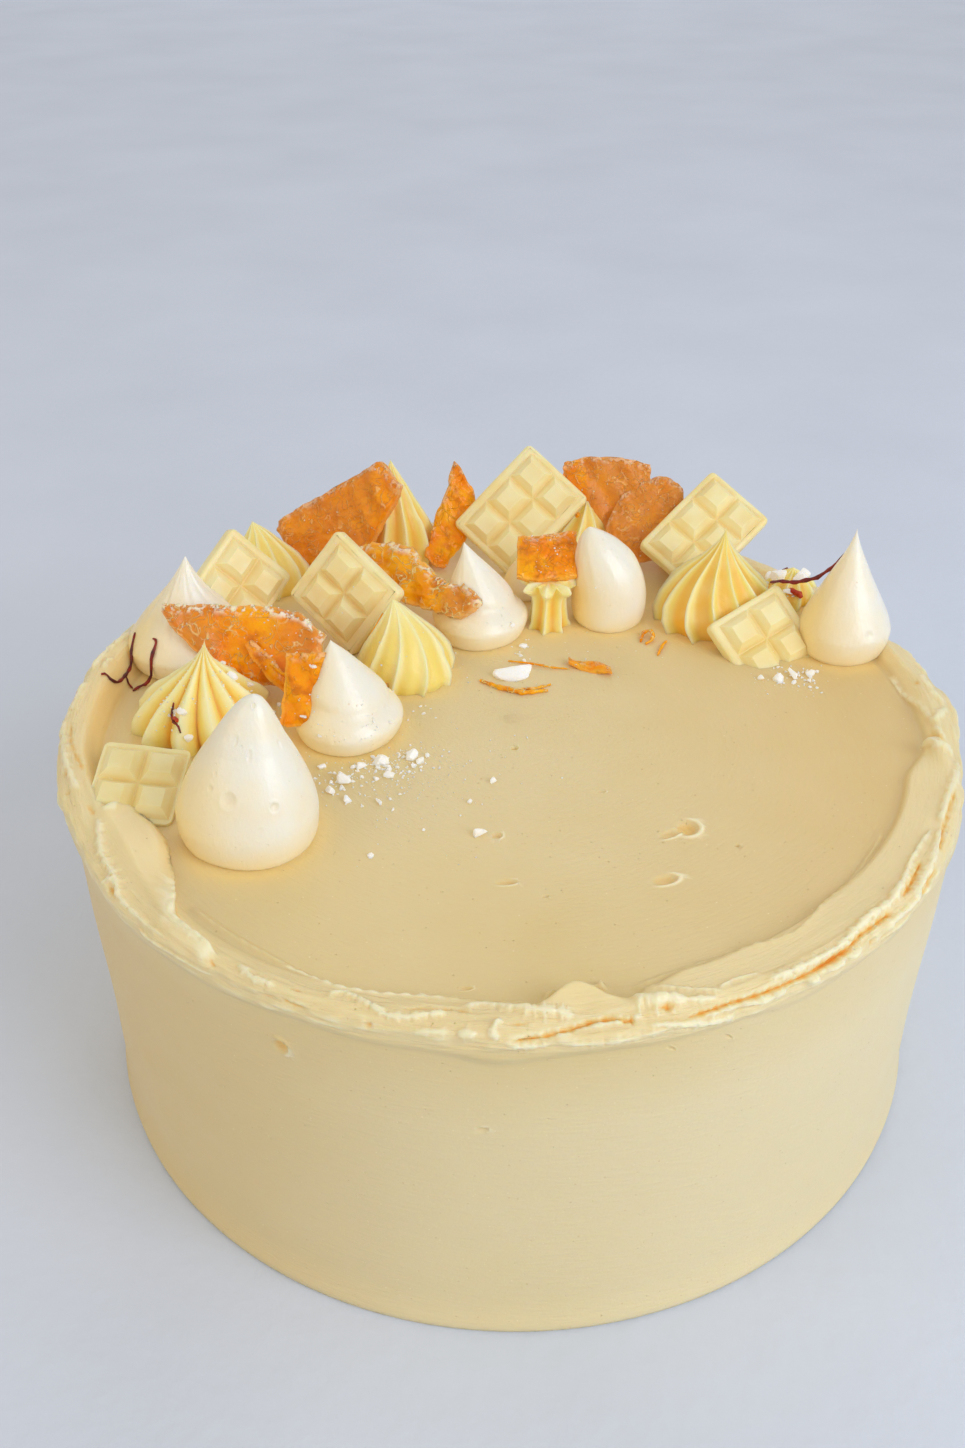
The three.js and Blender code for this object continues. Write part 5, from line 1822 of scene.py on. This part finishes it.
@dataclass
class Crumbs:
    """Broken meringue strewn over the top: angular chips, large and small, and fine dust."""

    large: tuple[Point3, ...] = (
        (-30.1, -18.8, 2.3), (-23.3, -16.9, 1.9), (-38.3, -26.1, 2), (-40.3, -30.2, 1.5), (-43.4, -21.1, 1.2),
        (-36.3, -33.0, 1.2), (-28.9, -33.9, 1.1), (-21.0, -18.2, 1.3), (-27.4, -24.0, 1.2),
        (-3.9, -25.5, 1.1), (-7.1, -44.5, 1.7), (62.1, 17.6, 1), (66.2, 17.0, 1.6), (70.4, 18.6, 1.9),
        (74.6, 19.6, 1.7), (3.1, 32.5, 1.0), (0, 33.5, 0.8), (-34.5, -20.7, 1.5), (-9.1, -33.3, 0.8),
        (-29.5, -52.1, 0.8), (-77.7, -10.6, 1.6), (-75.5, -13.4, 1.5), (-74.3, -16.4, 1.3),
        (-66.0, -2.0, 1.6), (-62.5, 1.5, 1.2), (72.5, 59.0, 2.6), (77.5, 57.5, 2.4), (74.5, 54.6, 2.0),
        (79.6, 61.5, 2.2), (70.8, 64.0, 1.8),
    )
    clusters: tuple[tuple[float, float, float, int], ...] = (
        (-29, -19, 6, 34), (-38, -27, 6, 26), (-24, -18, 5, 16), (70, 18.6, 6, 30), (-46, -12, 7, 14),
        (-78, -11, 4, 14), (76, 58, 6, 26), (3, 32, 5, 8), (-30, -30, 12, 14), (-62, 2, 6, 12),
        (-66, 26, 6, 8), (-23, 2, 6, 8),
    )
    heaps: tuple[tuple[float, float, float, int], ...] = (
        (-31, -22, 9, 150), (-24, -20, 14, 110), (-20, -30, 20, 70), (69, 17.6, 7, 60), (-2, 28, 16, 40),
        (20, 34, 16, 26), (-4, -22, 18, 24), (-78, -8, 7, 50), (-66, -6, 6, 30), (76, 58, 9, 60),
        (-46, 30, 26, 70), (-62, 16, 10, 60), (10, 49, 7, 24), (-49, -8, 7, 12),
    )
    clear_edge: float = 9.0  # how far the small ones stay from the side
    shape_count: int = 7
    seed: int = 23

    def scattered(
        self,
        places: Sequence[tuple[float, float, float, int]],
        size: Callable[[float], float],
        shapes: Sequence[tuple[Array, Array]],
        ground: Ground,
        chance: np.random.Generator,
    ) -> list[tuple[Array, Array]]:
        """Bodies strewn round several places.

        Args:
            places: For each place x, y, how far they spread and how many there are.
            size: Gives the size of one body from a random number.
            shapes: The bodies to choose from.
            ground: What they lie on.
            chance: Where the random numbers come from.

        Returns:
            Corners and faces of each body.
        """
        bodies = []
        for x, y, reach, count in places:
            for _ in range(count):
                px, py = x + chance.normal() * reach * 0.55, y + chance.normal() * reach * 0.55
                half = size(chance.uniform())
                stretch = (half * chance.uniform(0.8, 1.5), half * chance.uniform(0.6, 1.0), half * 0.7)
                points, faces = shapes[int(chance.integers(len(shapes)))]
                if math.hypot(px, py) < CAKE_RADIUS - self.clear_edge:
                    level, _ = ground.under(px, py)
                    at = (px, py, TOP + level + half * 0.3)
                    bodies.append((tossed(points, stretch, at, chance), faces))
        return bodies

    def build(self, ground: Ground, material: Material) -> None:
        """Makes and dresses the chips and the dust."""
        chance = np.random.default_rng(self.seed)
        chips = [rough_ball(2, 100 + i, 0.1, 12, 0.3) for i in range(self.shape_count)]
        bodies = []
        for number, (x, y, size) in enumerate(self.large):
            points, faces = chips[number % self.shape_count]
            level, _ = ground.under(x, y)
            scale = (size * chance.uniform(1.0, 1.5), size * chance.uniform(0.8, 1.1), size * 0.95)
            bodies.append((tossed(points, scale, (x, y, TOP + level + size * 0.4), chance), faces))
        bodies += self.scattered(self.clusters, lambda part: 0.35 + 0.65 * part**2, chips, ground, chance)
        piece = joined("broken_meringue", bodies)
        smooth_over(piece, 22)
        hand_over(piece, material, "meringue")
        grains = [rough_ball(1, 200 + i, 0.2) for i in range(self.shape_count)]
        bodies = self.scattered(self.heaps, lambda part: 0.14 + 0.24 * part**3, grains, ground, chance)
        hand_over(joined("meringue_dust", bodies), material, "meringue")


@dataclass
class Shard:
    """The white shard of meringue that lies on the top."""

    node: str = "meringue_shard"
    at: Point3 = (0.5, 19, 1.0)
    half: Point3 = (5.4, 3.2, 2.2)
    turn: float = 0.3

    def build(self, material: Material) -> None:
        """Makes and dresses the shard."""
        points, faces = rough_ball(5, 11, 0.1)
        points = points * np.array(self.half)
        cos, sin = math.cos(self.turn), math.sin(self.turn)
        x = points[:, 0] * cos - points[:, 1] * sin
        y = points[:, 0] * sin + points[:, 1] * cos
        turned = np.stack([x, y, points[:, 2]], axis=1) + np.array(self.at) + np.array([0, 0, TOP])
        piece = joined("white_shard", [(turned, faces)])
        hand_over(piece, material, "meringue", self.node)


@dataclass
class Thread:
    """A thin thread or shred laid over what is under it: its line from above and its half width."""

    line: tuple[Point2, ...]
    radius: float
    lift: float = 0.0  # how far its middle stands clear
    heights: tuple[float, ...] = ()  # of its line above the top, where it spans free

    def spline(self, ground: Ground, curve: bpy.types.Curve) -> None:
        """Adds the thread to a curve, resting on the ground."""
        points = np.array(self.line)
        walked = np.concatenate([[0], np.cumsum(np.hypot(*np.diff(points, axis=0).T))])
        steps = np.linspace(0, walked[-1], max(6, int(walked[-1] / 0.8)))
        x, y = np.interp(steps, walked, points[:, 0]), np.interp(steps, walked, points[:, 1])
        levels = np.array([ground.under(float(a), float(b))[0] for a, b in zip(x, y)])
        smooth = np.convolve(np.pad(levels, 2, "edge"), [0.1, 0.2, 0.4, 0.2, 0.1], "valid")
        part = np.linspace(0, 1, len(steps))
        z = np.maximum(levels, smooth) + self.radius * 0.6 + self.lift * np.sin(math.pi * part)
        if self.heights:
            z = np.interp(steps, walked, self.heights)
        spline = curve.splines.new("POLY")
        spline.points.add(len(steps) - 1)
        for index, point in enumerate(spline.points):
            point.co = (x[index] * MM, y[index] * MM, (z[index] + TOP) * MM, 1)
            thick = math.sin(math.pi * (0.12 + 0.76 * part[index])) ** 0.6
            point.radius = self.radius * thick * (1 + 0.25 * math.sin(index * 1.9))


def threads_piece(name: str, threads: Sequence[Thread], ground: Ground, material: Material) -> None:
    """Makes and dresses one piece of several threads.

    Args:
        name: The piece's name.
        threads: The threads.
        ground: What they lie on.
        material: Their finish.
    """
    curve = bpy.data.curves.new(name, "CURVE")
    curve.dimensions = "3D"
    curve.bevel_depth = MM
    curve.bevel_resolution = 2
    curve.use_fill_caps = True
    for thread in threads:
        thread.spline(ground, curve)
    piece = bpy.data.objects.new(name, curve)
    bpy.context.scene.collection.objects.link(piece)
    take_up(piece)
    bpy.ops.object.convert(target="MESH")
    piece = bpy.context.object
    smooth_over(piece)
    hand_over(piece, material, "mango")


SAFFRON = (
    Thread(((-94.6, 23.3), (-95.2, 20.5), (-95.5, 18.3), (-96.0, 14.6), (-96.5, 11.9), (-97.1, 9.4),
        (-98.2, 8.6), (-99.2, 9.4), (-100.2, 9.0)), 0.42, 0.6),
    Thread(((-96.0, 14.8), (-95.4, 13.6), (-94.1, 12.2)), 0.26, 0.2),
    Thread(((-88.8, 18.2), (-87.7, 17.4), (-88.2, 16.2), (-88.8, 15.2), (-89.4, 14.0), (-91.0, 13.2),
        (-92.4, 12.4), (-93.8, 11.0)), 0.42, 0.6),
    Thread(((-78.1, -9.6), (-78.6, -11.4), (-78.0, -13.0), (-77.3, -14.3), (-76.4, -15.4), (-75.6, -16.6)),
            0.3, 0.3),
    Thread(((66.2, 40.6), (68.6, 41.4), (72.6, 41.0), (77.7, 39.8), (80.9, 38.4), (83.2, 37.2)), 0.55,
           heights=(14.9, 14.9, 14.7, 16.7, 20.5, 24.9)),
    Thread(((73.0, 63.6), (74.4, 65.2), (76.0, 64.6)), 0.42, 0.5),
)

BRIGHT_SAFFRON = (
    Thread(((-77.8, -12.4), (-77.0, -13.8), (-76.3, -15.0)), 0.5, 0.2),
    Thread(((74.4, 55.0), (76.2, 54.0), (77.6, 53.0)), 0.9, 0.3),
)

SHREDS = (
    Thread(((-7.9, 16.1), (-2.9, 12.5), (2.5, 10.3), (8.9, 11.7)), 0.62, 0.2),
    Thread(((-3.6, 14.2), (1.0, 11.6), (5.8, 12.4), (9.6, 14.6)), 0.4, 0.3),
    Thread(((-1.0, 25.6), (4.6, 23.7), (10.1, 21.9), (14.6, 21.9)), 0.28, 0.5),
    Thread(((33.4, 35.5), (34.4, 39.0), (36.2, 39.8), (37.0, 37.4), (36.0, 35.2), (34.6, 34.4)), 0.5, 0.9),
    Thread(((37.3, 28.8), (38.3, 31.8), (39.3, 34.3), (40.2, 35.8)), 0.4, 0.3),
    Thread(((-32.6, 5.4), (-31.6, 7.0), (-31.0, 8.6), (-30.6, 10.0)), 0.6, 0.3),
    Thread(((-38.6, 26.2), (-36.8, 25.0), (-35.2, 22.6), (-34.4, 20.0)), 0.5, 0.4),
    Thread(((-40.4, 24.6), (-37.4, 22.8), (-34.6, 20.8), (-31.8, 21.4)), 0.4, 0.5),
    Thread(((-58.6, 9.6), (-56.4, 8.6), (-54.0, 9.2), (-51.8, 11.0)), 0.4, 0.4),
)


# The stage

@dataclass
class Studio:
    """The plain floor, the soft lights and the camera."""

    floor_radius: float = 6000
    light_distance: float = 1200
    aim_height: float = 60  # where the lights look
    camera_at: Point3 = (0.0, -279.438, 279.032)
    pitch: float = 34.37
    yaw: float = -1.44
    roll: float = 0.54
    lens: float = 35.0
    sensor: float = 36.0

    def floor(self) -> None:
        """A wide round floor just under the cake."""
        clear_selection()
        bpy.ops.mesh.primitive_circle_add(vertices=96, radius=self.floor_radius * MM, fill_type="NGON")
        floor = bpy.context.object
        floor.name = "studio_floor"
        bpy.ops.object.mode_set(mode="EDIT")
        bpy.ops.mesh.inset(thickness=self.floor_radius * 0.9 * MM)
        put_down()
        floor.data.materials.append(StageFinish().make())

    def light(
        self, name: str, azimuth: float, elevation: float, power: float, colour: Point3, size: float = 700
    ) -> None:
        """Adds a square area light that faces the cake.

        Args:
            name: The light's name.
            azimuth: Where it stands round the cake.
            elevation: How high it stands.
            power: Watts.
            colour: Its colour.
            size: Its side.
        """
        aim = Vector((0, 0, self.aim_height)) * MM
        at = aim + towards(azimuth, elevation) * self.light_distance * MM
        self.lamp(name, at, aim, size, power, colour)

    def lamp(self, name: str, at: Vector, aim: Vector, size: float, power: float, colour: Point3) -> None:
        """Adds a square area light at a place in metres, turned to another."""
        data = bpy.data.lights.new(name, "AREA")
        data.size = size * MM
        data.energy = power
        data.color = colour
        lamp = bpy.data.objects.new(name, data)
        bpy.context.scene.collection.objects.link(lamp)
        lamp.location = at
        lamp.rotation_euler = (aim - at).to_track_quat("-Z", "Y").to_euler()

    def camera(self) -> None:
        """Sets the camera where the photo was taken from."""
        data = bpy.data.cameras.new("camera")
        data.lens, data.sensor_width, data.sensor_fit = self.lens, self.sensor, "AUTO"
        data.clip_start, data.clip_end = 0.01, 50
        camera = bpy.data.objects.new("camera", data)
        bpy.context.scene.collection.objects.link(camera)
        yaw, down, roll = (math.radians(value) for value in (self.yaw, self.pitch, self.roll))
        forward = Vector((math.sin(yaw) * math.cos(down), math.cos(yaw) * math.cos(down), -math.sin(down)))
        level = Vector((math.cos(yaw), -math.sin(yaw), 0))
        above = level.cross(forward)
        right = level * math.cos(roll) - above * math.sin(roll)
        up = level * math.sin(roll) + above * math.cos(roll)
        turn = Matrix((right, up, -forward)).transposed().to_4x4()
        camera.matrix_world = Matrix.Translation(Vector(self.camera_at) * MM) @ turn
        bpy.context.scene.camera = camera

    def build(self) -> None:
        """Sets the stage."""
        self.camera()
        self.floor()
        world = bpy.data.worlds.new("studio")
        world.use_nodes = True
        background = world.node_tree.nodes["Background"]
        background.inputs["Color"].default_value = (1.02, 1.0, 0.96, 1)
        background.inputs["Strength"].default_value = 0.55
        scene = bpy.context.scene
        scene.world = world
        scene.view_settings.view_transform = "Standard"
        self.light("window", -40, 33, 4.6, (0.93, 1.0, 1.12))
        self.light("low_window", -35, 15, 1.6, (0.93, 1.0, 1.12))
        self.light("warm_wall", -150, 30, 1.7, (1.2, 1.0, 0.6))
        self.light("front_fill", -90, 25, 0.3, (1.0, 1.0, 1.0))
        self.light("back_fill", 70, 45, 0.5, (1.0, 1.0, 1.0))
        self.lamp("backdrop", Vector((0, 2.5, 1.5)), Vector((0, 1.5, 0)), 1500, 6.0, (0.96, 0.98, 1.0))


def main() -> None:
    """Builds every piece in order."""
    logging.basicConfig(level=logging.INFO, format="%(message)s")
    Studio().build()
    cake = IcedCake().build(IcingFinish().make())
    meringue, buttercream = MeringueFinish().make(), SwirlFinish().make()
    kisses = [kiss.build(meringue) for kiss in KISSES]
    swirls = [swirl.build(buttercream) for swirl in SWIRLS]
    chocolate = ChocolateFinish().make()
    blocks = [block.build(chocolate) for block in BLOCKS]
    finishes = {dried: finish.make() for dried, finish in MANGO_FINISHES.items()}
    slices = [slice_.build(finishes) for slice_ in SLICES]
    dry = CrumbFinish().make()
    Shard().build(dry)
    ground = Ground([cake, *kisses, *swirls, *blocks, *slices])
    Crumbs().build(ground, dry)
    threads_piece("saffron_threads", SAFFRON, ground, SaffronFinish().make())
    bright = SaffronFinish("bright_saffron", "b3260a", "e0561c").make()
    threads_piece("saffron_tips", BRIGHT_SAFFRON, ground, bright)
    threads_piece("mango_shreds", SHREDS, ground, finishes[Dried.KNOBBLY])
    clear_selection()


if __name__ == "__main__":
    main()
